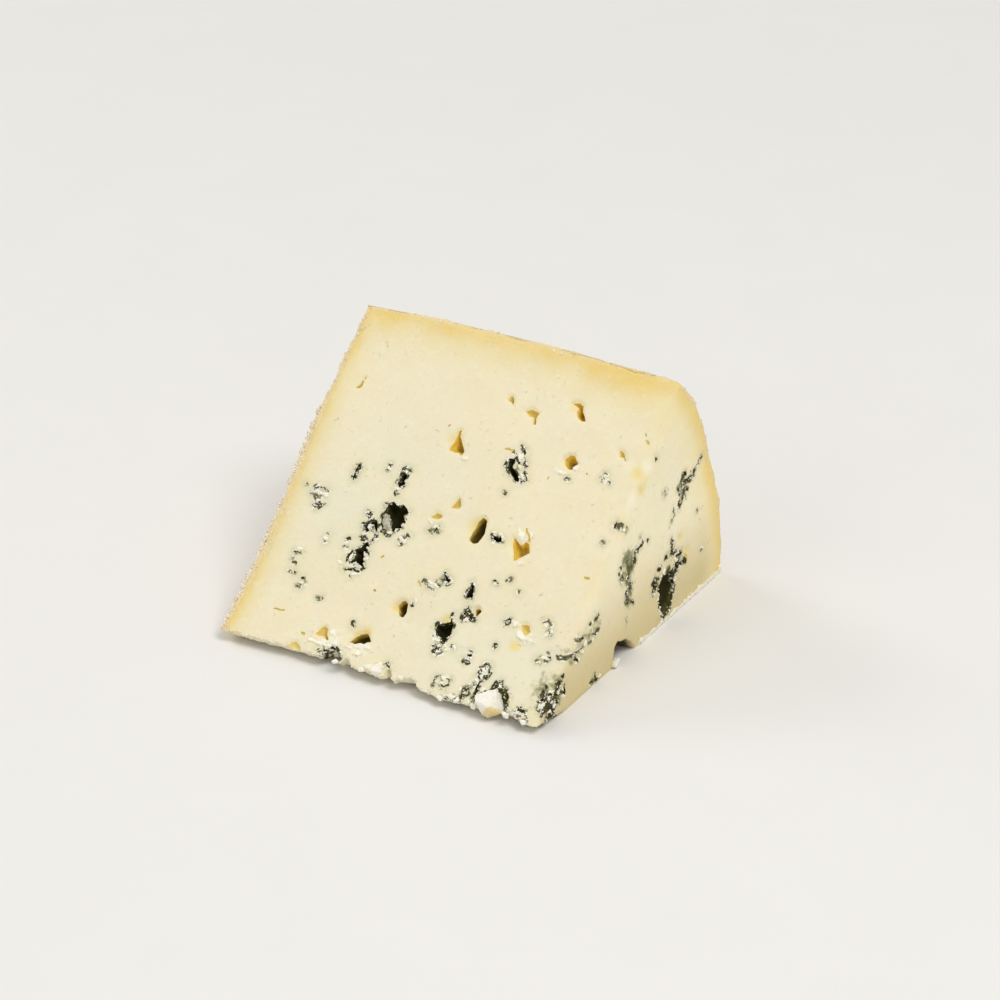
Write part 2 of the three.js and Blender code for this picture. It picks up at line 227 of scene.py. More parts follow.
# Mould cracks, arcs and specks on the slope: width, then the points of the stroke
SLOPE_VEINS = (
    (0.5, (-17.7, 44.0), (-17.2, 42.0), (-16.4, 40.2), (-15.0, 38.8), (-13.2, 38.2)),
    (0.6, (-16.9, 50.6), (-16.4, 49.8), (-15.7, 49.7)),
    (0.5, (-17.2, 56.5), (-16.0, 56.8), (-14.8, 56.4)), (0.5, (-21.9, 56.8), (-21.0, 56.2)),
    (0.5, (-22.0, 55.4), (-20.6, 55.0)),
    (0.5, (-39.5, 44.9), (-38.0, 45.8), (-36.6, 45.9), (-35.0, 45.3)),
    (0.6, (-39.6, 44.0), (-38.2, 43.5)),
    (0.5, (-38.2, 40.8), (-36.6, 40.4), (-35.6, 41.4), (-34.8, 42.4)),
    (0.4, (-36.8, 42.2), (-36.0, 42.0)), (0.6, (-42.0, 46.1), (-41.8, 45.8)),
    (0.6, (-17.6, 40.0), (-17.2, 37.5), (-17.5, 36.0), (-18.0, 35.0)),
    (0.6, (-21.0, 36.0), (-20.0, 35.6)), (0.5, (-20.4, 36.6), (-19.4, 36.0)),
    (0.8, (-21.4, 32.0), (-22.2, 30.5), (-22.3, 28.6)),
    (0.6, (-22.4, 26.6), (-20.8, 26.8), (-19.4, 27.2), (-18.0, 26.8), (-17.5, 27.6)),
    (0.4, (-20.2, 25.8), (-19.0, 24.9)), (0.5, (-18.2, 33.2), (-16.6, 31.8)),
    (0.4, (-24.6, 32.5), (-23.6, 32.3)), (0.4, (-31.0, 32.6), (-30.4, 32.2), (-29.8, 32.5)),
    (0.4, (-30.4, 34.5), (-29.8, 34.2)), (0.5, (-37.8, 27.4), (-36.5, 27.6), (-35.0, 27.2)),
    (0.5, (-35.1, 22.7), (-34.7, 21.8)), (0.5, (-36.3, 22.3), (-36.1, 22.2)),
    (0.7, (-32.8, 21.0), (-32.0, 21.4), (-31.4, 21.2)), (0.5, (-33.0, 18.9), (-31.5, 18.8)),
    (0.4, (-25.8, 17.6), (-24.8, 17.4)), (0.5, (-9.2, 39.6), (-7.8, 39.7)),
    (0.45, (-3.8, 42.6), (-2.3, 42.0), (-1.4, 44.4)), (0.4, (-1.6, 43.6), (-0.8, 42.8)),
    (0.8, (10.5, 69.0), (11.1, 68.2)), (0.6, (11.3, 67.4), (12.2, 66.7)),
    (0.6, (12.0, 70.6), (13.0, 70.0), (13.6, 68.6)), (0.4, (13.6, 68.6), (14.6, 66.2), (15.2, 65.8)),
    (0.45, (15.4, 64.3), (16.0, 63.4), (16.8, 62.2)), (0.45, (14.8, 62.4), (15.8, 62.1)),
    (0.4, (11.8, 58.0), (12.8, 57.5)), (0.6, (4.2, 30.3), (4.4, 30.0)), (0.6, (5.2, 29.5), (5.6, 29.2)),
    (0.5, (5.4, 30.5), (6.4, 30.0)), (0.4, (4.2, 27.6), (2.2, 28.4), (0.8, 29.4)),
    (0.6, (15.9, 26.0), (15.1, 25.0), (15.1, 23.0), (15.6, 22.0)), (0.6, (17.6, 23.4), (18.8, 23.0)),
    (0.9, (12.1, 23.0), (12.3, 22.8)), (0.7, (12.4, 21.8), (12.6, 21.4)),
    (0.9, (11.5, 13.7), (11.6, 13.2)), (0.9, (12.5, 13.3), (12.8, 13.0)),
    (0.4, (11.4, 12.6), (12.8, 11.4), (14.0, 12.4), (14.3, 14.0)), (0.6, (15.5, 14.9), (16.4, 14.2)),
    (0.6, (9.4, 16.5), (9.6, 16.0)), (0.4, (20.8, 15.0), (21.8, 15.1)),
    (0.45, (27.7, 8.7), (27.2, 6.4), (27.0, 4.2)), (0.45, (25.8, 7.1), (25.1, 4.4), (24.5, 2.4)),
    (0.4, (20.3, 12.8), (20.6, 12.2), (22.0, 12.0)),
    (0.5, (26.6, 25.2), (27.4, 26.0), (28.1, 25.6), (28.0, 24.6), (27.2, 24.0), (26.6, 24.6)),
    (0.6, (19.3, 34.5), (20.2, 34.3), (21.0, 33.7)), (0.45, (22.6, 35.4), (23.5, 35.3), (23.7, 36.2)),
    (0.7, (26.9, 33.7), (27.6, 33.0)), (0.4, (39.5, 26.0), (39.8, 24.2)),
    (0.4, (36.5, 27.5), (38.0, 28.0), (39.4, 27.2)), (0.5, (38.8, 17.8), (39.0, 17.7)),
    (0.5, (39.7, 17.1), (39.9, 16.9)), (0.4, (39.3, 18.9), (40.2, 18.7)),
    (0.5, (40.9, 20.2), (41.2, 19.9)), (0.6, (41.4, 19.6), (41.6, 18.9)),
    (0.5, (41.4, 18.2), (41.6, 18.0)), (0.5, (42.2, 19.2), (42.4, 19.0)),
    (0.6, (25.6, 10.6), (26.1, 9.8), (27.0, 8.4), (27.8, 7.6)),
    (0.5, (27.9, 12.6), (28.4, 10.5), (28.2, 9.0)), (0.4, (26.2, 12.6), (27.2, 13.0), (27.9, 12.6)),
    (0.5, (25.5, 7.0), (25.8, 6.0)), (0.8, (25.0, 5.2), (24.4, 3.6), (24.3, 1.5)),
    (0.7, (27.8, 5.5), (27.5, 3.8), (27.4, 2.0)), (0.9, (31.8, 9.0), (32.3, 8.0), (31.4, 7.2)),
    (0.6, (32.3, 9.3), (32.8, 9.5)), (0.7, (33.0, 6.6), (34.0, 6.6), (35.2, 6.2)),
    (0.8, (34.8, 8.0), (35.0, 7.7)), (0.7, (31.4, 6.4), (30.4, 5.3), (29.7, 4.2)),
    (1.0, (35.7, 5.0), (36.1, 3.5), (35.7, 2.0)), (0.6, (39.7, 3.3), (40.0, 3.0)),
    (0.7, (40.5, 4.7), (40.8, 4.4)), (0.6, (41.2, 3.5), (41.9, 3.9)), (0.6, (40.3, 2.1), (41.4, 1.9)),
    (1.0, (42.4, 1.7), (43.6, 1.2)), (0.6, (45.0, 58.0), (44.8, 57.0), (44.9, 56.0)),
    (0.6, (47.4, 59.0), (46.7, 58.0)), (0.7, (43.0, 52.1), (43.4, 51.2)),
    (0.6, (48.6, 32.4), (48.0, 30.4)), (0.9, (48.6, 49.8), (48.8, 47.2)),
    (0.6, (48.6, 46.2), (48.8, 44.4)), (0.7, (46.6, 14.5), (46.8, 12.0), (47.2, 10.6)),
    (0.7, (44.8, 9.2), (46.1, 10.3), (47.4, 9.6)), (1.1, (44.6, 8.3), (45.0, 8.1)),
    (0.5, (45.5, 9.4), (46.0, 8.0)), (0.5, (46.6, 9.0), (47.6, 8.0)), (0.7, (45.2, 5.2), (45.8, 5.0)),
    (1.2, (46.6, 4.5), (47.6, 4.1)), (0.6, (46.8, 21.4), (47.6, 20.2), (48.4, 19.8)),
    (0.6, (46.6, 27.0), (46.4, 25.0)), (0.7, (-18.6, 4.3), (-18.5, 3.2)),
    (0.8, (-17.0, 4.1), (-16.4, 4.0)), (0.6, (-17.0, 3.1), (-16.4, 3.0)),
    (0.5, (15.6, 6.0), (15.4, 4.5), (15.6, 3.2), (16.3, 3.3)),
    (0.5, (18.3, 6.3), (19.4, 6.0), (19.6, 4.6), (18.4, 3.8), (17.6, 4.4)),
    (0.5, (0.4, 5.6), (1.6, 5.1), (2.4, 4.6)), (0.6, (20.5, 1.8), (21.3, 1.2)),
    (0.6, (22.3, 1.1), (23.3, 1.7)), (0.4, (36.8, 69.6), (37.6, 69.2)), (0.4, (36.2, 68.0), (36.8, 67.6)),
    (0.4, (38.4, 67.8), (39.2, 67.1)), (0.45, (-13.2, 13.6), (-12.2, 12.3)),
    (0.5, (26.5, 18.4), (26.6, 18.0)), (0.35, (0.2, 23.2), (0.8, 22.4)),
    (0.4, (26.8, 65.2), (27.8, 65.5)),
)

# Mould pockets on the cross cut: depth, then the corners of the mouth
CUT_POCKETS = (
    (3.6, (63.9, 10.4), (64.5, 12.8), (66.2, 13.9), (68.5, 13.8), (70.5, 13.4), (71.5, 12.2),
          (71.2, 10.5), (72.2, 8.7), (71.1, 6.2), (70.1, 2.9), (67.5, 2.7), (65.7, 2.9), (64.8, 5.8),
          (63.7, 8.0)),
    (2.6, (71.0, 13.0), (72.0, 14.6), (73.0, 15.4), (74.2, 14.8), (74.4, 13.2), (73.3, 12.0),
          (72.7, 11.0), (71.8, 12.2)),
    (1.0, (11.6, 9.6), (12.6, 10.0), (13.6, 9.4), (13.4, 8.4), (12.0, 8.3)),
)

# Mould veins on the cross cut, smeared by the wire: width, then the points of the stroke
CUT_VEINS = (
    (0.6, (87.0, 40.2), (86.0, 39.2), (84.6, 38.4), (83.4, 37.8)),
    (1.0, (83.4, 37.8), (82.0, 36.5), (80.6, 36.1), (79.0, 36.4), (77.6, 36.9), (76.6, 37.3)),
    (0.9, (78.3, 38.3), (77.0, 39.4), (76.3, 38.2), (75.4, 36.3)),
    (0.9, (74.2, 37.0), (74.0, 35.0), (74.6, 33.8)), (0.6, (74.6, 34.6), (76.0, 33.8)),
    (0.6, (77.0, 36.4), (76.4, 34.6), (77.2, 33.2)), (0.7, (76.4, 34.4), (78.2, 34.6), (79.4, 33.4)),
    (1.0, (76.2, 32.8), (75.0, 32.0), (73.6, 30.6)), (0.9, (71.0, 32.3), (71.3, 31.3)),
    (0.8, (83.8, 25.8), (84.2, 25.4)), (0.8, (69.4, 29.2), (69.9, 28.9)),
    (0.6, (66.0, 39.3), (66.6, 38.8)), (0.7, (86.2, 12.9), (87.0, 12.7)),
    (1.0, (60.1, 51.2), (60.7, 50.7)), (0.5, (52.6, 32.0), (53.1, 31.7)),
    (1.1, (50.0, 28.9), (51.6, 28.9), (53.4, 29.4), (55.0, 29.3)),
    (0.8, (50.2, 28.0), (50.8, 26.0), (50.0, 25.2)), (0.8, (56.8, 29.0), (57.2, 28.4)),
    (0.7, (42.2, 26.0), (42.8, 26.1)), (0.8, (43.2, 27.4), (43.8, 26.8)),
    (0.8, (44.5, 25.8), (43.8, 24.2), (44.3, 23.2)), (1.1, (46.9, 23.7), (47.6, 23.5)),
    (0.7, (46.4, 22.8), (47.8, 22.6)), (0.9, (47.2, 21.1), (48.8, 20.4)),
    (0.7, (46.0, 19.4), (48.0, 19.2), (49.4, 18.8)), (0.8, (45.9, 19.2), (46.2, 17.0), (46.8, 15.2)),
    (0.7, (48.6, 15.0), (50.4, 14.4)), (1.1, (66.2, 3.4), (66.5, 1.2)),
    (1.3, (74.0, 14.2), (76.0, 13.8), (78.0, 12.9)),
    (1.0, (69.4, 23.6), (70.4, 22.0), (69.8, 20.4), (70.4, 18.9), (72.0, 18.8), (73.0, 18.4)),
    (1.1, (72.8, 17.2), (74.2, 17.2), (75.6, 16.6)), (1.1, (67.2, 20.3), (66.5, 19.3), (67.6, 19.4)),
    (1.1, (62.6, 18.2), (63.8, 17.6), (64.4, 16.4)), (0.8, (65.2, 14.6), (66.4, 13.2)),
    (1.4, (61.6, 15.8), (60.8, 14.6), (61.6, 13.2), (62.2, 12.6)),
    (0.8, (60.4, 13.4), (60.8, 11.4), (62.2, 11.3)),
    (0.7, (16.0, 14.2), (18.4, 14.3), (19.6, 13.5), (20.4, 12.4), (21.6, 11.2)),
    (0.6, (18.4, 14.3), (22.0, 14.3), (23.5, 14.7)), (0.9, (21.2, 17.0), (23.4, 16.8), (25.0, 16.7)),
    (0.8, (27.0, 19.0), (27.4, 18.8)), (1.0, (28.8, 19.5), (30.8, 19.4)),
    (0.9, (28.2, 15.8), (30.0, 15.6), (31.4, 16.0)), (0.6, (29.4, 15.3), (30.2, 14.8)),
    (0.5, (26.0, 14.0), (28.5, 14.2)), (0.9, (7.4, 7.6), (9.4, 8.0), (11.4, 8.1), (12.6, 8.3)),
    (0.8, (14.0, 10.4), (14.5, 10.3)), (0.8, (6.8, 7.2), (7.8, 6.4)),
    (0.7, (10.0, 7.5), (11.6, 6.4), (12.6, 7.3)), (0.9, (9.8, 5.8), (11.0, 4.6)),
    (0.6, (4.0, 5.0), (6.0, 5.4), (7.0, 5.0)), (1.4, (5.4, 3.4), (7.4, 3.0)),
    (0.9, (4.6, 2.6), (6.6, 2.0), (8.6, 1.5), (10.8, 0.9)), (0.9, (27.2, 2.0), (28.8, 1.6), (30.0, 1.8)),
    (0.9, (29.8, 3.4), (30.0, 1.6), (31.4, 0.8)),
)

# The broken tip edge: how far up the slope it stands, from the rind end to the cross cut
TIP_EDGE = (
    (-60.0, 1.2), (-47.0, 1.3), (-40.0, 1.8), (-30.0, 2.2), (-20.0, 2.4), (-17.0, 2.3), (-16.0, 4.4),
    (-14.6, 5.2), (-13.5, 4.0), (-12.4, 3.5), (-11.9, 1.8), (-11.5, 2.0), (-10.0, 4.0), (-8.2, 2.2),
    (-6.0, 1.9), (-4.4, 2.2), (-1.6, 2.0), (-0.4, 1.5), (1.2, 1.4), (1.7, 2.0), (2.0, 4.6), (2.6, 4.2),
    (4.4, 1.4), (5.2, 1.5), (5.6, 2.6), (7.2, 3.0), (9.0, 3.6), (10.4, 3.1), (11.6, 1.8), (13.0, 1.2),
    (15.0, 1.1), (16.4, 1.2), (18.0, 0.4), (19.8, 0.0), (20.2, 1.0), (22.0, 0.8), (24.0, 1.0),
    (27.0, 1.6), (29.0, 1.2), (36.0, 2.2), (38.5, 2.4), (40.0, 1.6), (42.0, 1.0), (44.5, 0.0),
    (46.0, 0.4), (48.0, 1.8), (60.0, 6.0),
)

# What is cut off below that edge: how far down, from how high above the slope, and how deep
TIP_CUT_FOOT = -14
TIP_CUT_START = 12
TIP_CUT_DEPTH = 24

# The hollow broken out of the foot of the cross cut
FOOT_HOLLOW_DEPTH = 9.0
FOOT_HOLLOW = (
    (39.2, -3.0), (39.4, 1.8), (39.4, 4.2), (40.0, 5.8), (41.0, 6.6), (42.4, 6.8), (44.0, 6.0), (46.0, 5.5),
    (48.0, 4.6), (49.6, 3.0), (51.0, 1.0), (52.4, -3.0),
)

# Grey-green marbling round the mould: along, up, radius and strength
SLOPE_CAST = (
    (45.8, 57.4, 2.2, 0.55), (43.5, 51.6, 1.4, 0.5), (37.3, 68.3, 2.2, 0.35), (-37.0, 43.3, 2.6, 0.4),
    (-31.6, 20.4, 2.0, 0.45), (-36.3, 25.2, 2.2, 0.45), (-35.6, 22.4, 1.4, 0.4), (-14.6, 42.0, 4.0, 0.6),
    (-19.6, 39.4, 2.6, 0.75), (-19.4, 31.0, 3.6, 0.65), (-20.0, 26.6, 1.8, 0.6), (6.4, 31.0, 2.2, 0.7),
    (2.6, 28.2, 1.6, 0.35), (15.9, 23.6, 1.8, 0.85), (12.6, 13.0, 2.0, 0.65), (21.2, 13.4, 1.5, 0.6),
    (27.0, 10.6, 2.2, 0.85), (25.0, 4.6, 2.2, 0.7), (33.6, 7.4, 2.4, 0.75), (17.4, 4.8, 2.6, 0.65),
    (41.0, 3.0, 2.4, 0.75), (40.4, 18.4, 2.2, 0.4), (39.0, 25.6, 2.0, 0.35), (12.8, 65.6, 3.2, 0.45),
    (-16.0, 56.0, 1.6, 0.5), (-21.4, 56.0, 1.4, 0.5), (-29.5, 52.4, 1.6, 0.5), (-9.4, 38.2, 2.0, 0.55),
    (-2.4, 43.2, 1.6, 0.5), (15.6, 45.2, 2.4, 0.5), (20.4, 34.2, 1.8, 0.4), (23.4, 35.6, 1.4, 0.4),
    (27.4, 25.0, 1.4, 0.6), (46.4, 7.4, 3.6, 0.9), (47.0, 12.4, 1.8, 0.5), (-12.7, 13.0, 1.6, 0.4),
    (-17.2, 3.6, 1.8, 0.7), (1.4, 5.0, 1.4, 0.4), (22.0, 1.6, 1.8, 0.6), (28.4, 3.0, 1.6, 0.6),
    (26.6, 6.6, 2.0, 0.7),
)
CUT_CAST = (
    (46.8, 28.8, 3.0, 0.95), (48.0, 25.6, 2.6, 0.95), (47.4, 22.4, 2.0, 0.9), (48.0, 18.6, 2.0, 0.95),
    (47.2, 15.6, 1.6, 0.8), (46.1, 11.6, 1.0, 0.6), (53.0, 29.2, 1.6, 0.6), (62.0, 13.4, 2.2, 0.75),
    (70.4, 20.4, 2.4, 0.7), (73.4, 15.4, 2.2, 0.8), (67.4, 14.6, 2.0, 0.6), (76.2, 36.6, 2.4, 0.85),
    (80.6, 36.6, 1.6, 0.7), (66.2, 38.4, 2.2, 0.45), (76.8, 33.4, 1.8, 0.7), (29.4, 17.4, 2.2, 0.5),
    (23.0, 15.6, 2.8, 0.6), (18.6, 13.4, 2.0, 0.65), (10.4, 6.6, 3.6, 0.95), (7.0, 3.4, 3.0, 0.9),
    (29.2, 1.8, 1.8, 0.7), (13.0, 9.6, 1.8, 0.8), (45.6, 24.2, 2.6, 0.8), (71.4, 29.8, 0.8, 0.42),
    (69.8, 28.6, 0.8, 0.36), (68.2, 27.5, 0.8, 0.36), (66.6, 26.4, 0.7, 0.32), (65.1, 25.4, 0.7, 0.3),
    (46.1, 9.8, 0.9, 0.4), (26.4, 15.8, 2.6, 0.5), (31.4, 17.4, 1.8, 0.4), (68.4, 14.8, 1.8, 0.7),
)

# Places where the mould is only a soft wash: along, up, radius and strength
SLOPE_FAINT = (
    (40.3, 18.6, 2.8, 0.8), (38.3, 26.1, 3.0, 0.85), (20.2, 34.3, 2.2, 0.6), (23.5, 35.5, 2.0, 0.6),
    (27.3, 33.4, 1.8, 0.8), (16.4, 4.2, 2.6, 0.55), (18.9, 5.0, 2.4, 0.55), (37.2, 68.6, 2.8, 0.85),
    (45.8, 57.4, 2.8, 0.2), (43.5, 51.6, 1.8, 0.3), (-36.6, 45.6, 2.6, 0.7), (-31.6, 20.6, 2.4, 0.5),
    (-36.0, 22.4, 1.8, 0.7), (-36.4, 27.4, 2.0, 0.6), (-32.2, 18.9, 1.6, 0.7), (-30.2, 33.3, 2.2, 0.85),
    (-9.2, 38.4, 2.4, 0.55), (-2.4, 43.2, 2.4, 0.55), (-21.4, 56.0, 2.0, 0.7), (2.6, 28.4, 2.2, 0.75),
    (47.6, 20.4, 2.2, 0.6), (46.5, 26.0, 2.0, 0.7), (27.2, 25.0, 1.6, 0.4), (-25.3, 17.5, 1.4, 0.7),
)
CUT_FAINT = (
    (22.6, 15.4, 4.4, 0.7), (29.4, 17.2, 3.4, 0.6), (18.4, 13.6, 3.0, 0.5), (46.8, 28.8, 3.4, 0.6),
    (46.6, 23.6, 3.0, 0.6), (48.4, 17.6, 2.6, 0.5), (66.3, 39.0, 1.8, 0.8), (84.0, 25.6, 1.4, 0.4),
    (29.4, 2.2, 2.4, 0.5), (76.6, 34.4, 2.0, 0.35), (52.8, 31.8, 1.4, 0.7), (71.2, 31.8, 1.4, 0.6),
    (69.6, 29.0, 1.2, 0.6),
)

# Cooler, whiter paste in the regions rich in mould: along, up, radius and strength
SLOPE_COOL = (
    (-21.0, 60.0, 13.0, 0.7), (-28.0, 42.0, 13.0, 0.9), (-8.0, 58.0, 10.0, 0.6), (12.0, 14.0, 15.0, 0.7),
    (34.0, 12.0, 13.0, 0.9), (24.0, 20.0, 10.0, 0.6), (-6.0, 40.0, 9.0, 0.5),
)

# White flakes torn up from the paste: along, up, length, width and turn in degrees
SLOPE_FLAKES = (
    (-16.5, 51.1, 2.0, 0.9, 10), (-37.0, 44.3, 3.4, 1.0, 8), (-37.2, 42.4, 2.0, 1.1, -20),
    (-35.0, 44.0, 1.8, 1.2, 20), (-20.0, 27.9, 3.4, 1.0, 10), (-21.4, 30.2, 3.0, 1.0, 80),
    (-18.6, 25.9, 2.2, 0.9, 30), (-23.6, 28.0, 1.6, 1.0, 0), (-19.6, 39.6, 1.5, 1.0, 30),
    (-20.3, 36.8, 2.6, 1.2, -20), (-16.4, 36.4, 1.8, 1.0, 30), (-24.4, 33.6, 2.0, 1.2, 20),
    (-9.8, 38.4, 2.6, 1.4, -40), (-13.6, 39.2, 2.0, 1.0, 20), (21.6, 47.6, 4.4, 1.8, -55),
    (24.2, 48.4, 3.0, 1.2, -75), (32.2, 22.8, 6.2, 1.8, -34), (29.4, 25.0, 2.6, 1.8, 40),
    (35.2, 21.6, 2.4, 1.6, 10), (34.6, 23.6, 2.0, 1.2, 60), (-0.6, 3.8, 4.4, 2.6, 66),
    (-3.4, 3.2, 3.0, 1.6, -10), (-8.0, 8.0, 5.2, 1.8, 6), (-10.6, 7.2, 2.6, 1.6, 30),
    (-5.6, 8.4, 2.0, 1.6, 30), (-7.6, 6.0, 2.2, 1.6, 70), (-18.5, 5.9, 5.4, 2.0, -10),
    (-14.6, 6.8, 3.2, 2.0, -30), (-16.6, 9.6, 3.4, 1.6, -12), (-21.4, 6.0, 3.0, 1.6, 6),
    (12.7, 67.4, 2.8, 1.0, -60), (14.2, 64.6, 3.4, 1.2, -55), (15.2, 62.2, 2.0, 1.0, -30),
    (11.6, 15.2, 2.0, 1.0, 30), (12.6, 13.8, 2.2, 1.0, -40), (10.2, 15.0, 1.8, 0.9, 60),
    (14.6, 13.4, 1.8, 0.9, 50), (16.3, 22.6, 2.2, 1.2, -20), (18.2, 24.4, 1.4, 0.8, 50),
    (21.2, 12.7, 2.0, 1.0, 10), (-31.9, 20.1, 2.4, 1.0, 20), (-36.2, 28.4, 2.6, 0.9, 4),
    (-30.4, 33.2, 2.0, 0.9, 30), (-2.0, 43.6, 3.0, 1.4, 20), (-3.6, 44.8, 2.4, 1.2, -20),
    (39.0, 24.8, 3.0, 1.0, 50), (38.0, 26.6, 2.2, 1.0, -30), (41.0, 18.6, 2.2, 1.2, 0),
    (40.0, 17.4, 1.6, 0.8, 40), (27.2, 10.2, 3.6, 1.2, 76), (26.6, 5.4, 4.0, 1.2, 72),
    (29.2, 6.0, 3.0, 1.0, 76), (34.2, 7.3, 2.2, 1.0, -10), (33.0, 8.2, 1.6, 0.8, 30),
    (40.3, 2.9, 2.2, 1.2, 10), (41.8, 2.8, 1.6, 1.0, 50), (22.0, 1.9, 2.4, 1.2, 0),
    (20.0, 1.6, 2.0, 1.2, 10), (45.6, 6.6, 3.0, 1.2, 60), (47.0, 8.8, 2.0, 1.0, 30),
    (46.2, 11.0, 2.2, 1.0, 60), (38.2, 1.8, 2.4, 1.2, 20), (39.0, 67.6, 2.0, 0.8, -30),
    (37.0, 68.8, 1.8, 0.8, 20), (17.4, 4.6, 2.0, 1.0, 30), (16.6, 46.4, 2.2, 1.0, -20),
    (7.4, 30.2, 2.2, 1.0, 30), (5.2, 28.8, 2.0, 0.9, -30), (3.0, 29.4, 2.8, 0.8, -26),
    (1.0, 23.8, 2.0, 0.8, -60), (-1.6, 63.6, 2.4, 1.2, 20), (25.4, 66.8, 3.0, 1.2, -10),
    (24.6, 40.4, 2.4, 1.4, 30),
)
CUT_FLAKES = (
    (24.5, 15.1, 3.0, 1.4, 25), (22.4, 13.4, 2.2, 1.0, 10), (9.0, 5.2, 2.4, 1.4, 40),
    (6.4, 4.4, 2.0, 1.0, 0), (70.6, 24.4, 3.4, 1.0, -68), (70.4, 19.7, 2.2, 1.0, -30),
    (72.4, 16.4, 2.6, 1.0, -40), (65.6, 16.0, 2.6, 1.4, 45), (11.0, 7.2, 2.0, 1.0, 20),
    (46.2, 23.4, 2.0, 1.0, 60), (76.0, 35.6, 1.8, 0.8, 20), (63.6, 9.6, 2.6, 1.0, 80),
    (98.0, 2.4, 2.6, 1.8, 40), (54.0, 1.6, 2.4, 1.4, -40), (31.6, 1.6, 2.4, 1.2, 30),
)

# Soft white swellings of the paste: along, up, radius and strength
SLOPE_WHITES = (
    (47.6, 74.0, 3.0, 0.7), (49.8, 71.0, 2.6, 0.7), (48.2, 64.8, 3.2, 0.8), (42.6, 73.0, 2.4, 0.5),
    (37.3, 80.0, 1.4, 0.4), (-16.0, 7.0, 3.6, 0.6), (-8.0, 7.0, 3.0, 0.6), (33.0, 22.4, 3.0, 0.5),
)

# Loose crumbs on both faces: along, up, length, width, turn in degrees and greenness
TIP_CRUMBS = (
    (32.5, 2.9, 5.9, 5.3, 34, 0.0), (37.6, 1.4, 1.8, 1.4, 0, 0.0), (43.0, 0.9, 1.6, 1.2, 20, 0.0),
    (19.0, 0.6, 1.6, 1.1, 10, 0.0), (23.6, 1.4, 1.5, 1.1, 60, 0.0), (6.4, 2.8, 1.3, 1.0, 0, 0.0),
    (-0.6, 3.0, 2.8, 2.0, 60, 0.0), (-5.0, 2.0, 1.4, 1.0, 20, 0.0), (28.4, 1.2, 1.6, 1.2, 0, 0.0),
    (-12.6, 2.0, 1.5, 1.2, 40, 0.0), (28.6, 68.5, 1.7, 1.4, 20, 0.0), (-15.6, 41.4, 4.6, 1.9, -56, 0.75),
)
CUT_CRUMBS = (
    (40.5, 1.1, 2.8, 1.9, 15, 0.1),
)


def length(name, description, default):
    """A length that a user may change."""
    return bpy.props.FloatProperty(name=name, description=description, default=default, unit="LENGTH")


def rotation(name, description, degrees):
    """An angle that a user may change."""
    angle = math.radians(degrees)
    return bpy.props.FloatProperty(name=name, description=description, default=angle, unit="ROTATION")


def power(name, description, default):
    """A light's power that a user may change."""
    return bpy.props.FloatProperty(name=name, description=description, default=default, unit="POWER")


def shade(name, description, default):
    """A colour that a user may change."""
    return bpy.props.FloatVectorProperty(
        name=name, description=description, default=default, subtype="COLOR")


class CheeseSizes(bpy.types.PropertyGroup):
    """Sizes of the wedge, its rind and its relief"""

    drum_radius: length("Drum Radius", "Radius of the drum that the wedge is cut from", 0.0997)
    wedge_length: length("Length", "From the rind end to the cross cut, along the drum's axis", 0.094)
    wedge_angle: rotation("Angle", "Angle between the two radial cuts", 42)
    tip_lift: length("Tip Lift", "Height of the thin tip above the ground", 2.5 * MM)
    undercut: length("Undercut", "How far back from the tip the wedge touches the ground", 14 * MM)
    soft_edge: length(
        "Soft Edge", "Width of the smeared edge between the slope and the cross cut", 4 * MM)
    rind_bulge: length("Rind Bulge", "How far the drum's side swells out at its middle", 1.2 * MM)
    rind_thickness: length(
        "Rind Thickness", "Thickness of the crust, most of it bedded in the paste", 2.8 * MM)
    rind_lap: length("Rind Lap", "How far the rind stands out beyond the paste along the cuts", 0.3 * MM)
    rind_bed: length("Rind Bed", "How far the paste lies below the rind, away from the cuts", 1.5 * MM)
    rind_sink: length("Rind Sink", "How far the rind's cut edges lie below the cut faces", 0.15 * MM)
    body_voxel: length("Body Voxel", "Size of the faces that carry the slow waves of the paste", 0.9 * MM)
    fine_voxel: length("Fine Voxel", "Size of the faces that carry the crumbly relief", 0.4 * MM)
    hollow_voxel: length("Hollow Voxel", "Size of the faces that line the eyes and the mould", 0.2 * MM)
    paste_wave: length("Paste Waves", "Height of the slow waves of the cut paste", 0.9 * MM)
    rind_crag: length("Rind Crags", "Height of the crags of the rind", 1.4 * MM)
    skin_triangles: bpy.props.IntProperty(
        name="Skin Triangles", description="Triangles of the paste's skin, apart from its hollows",
        default=115000)
    piece_triangles: bpy.props.IntProperty(
        name="Piece Triangles", description="Most triangles in one piece", default=190000)


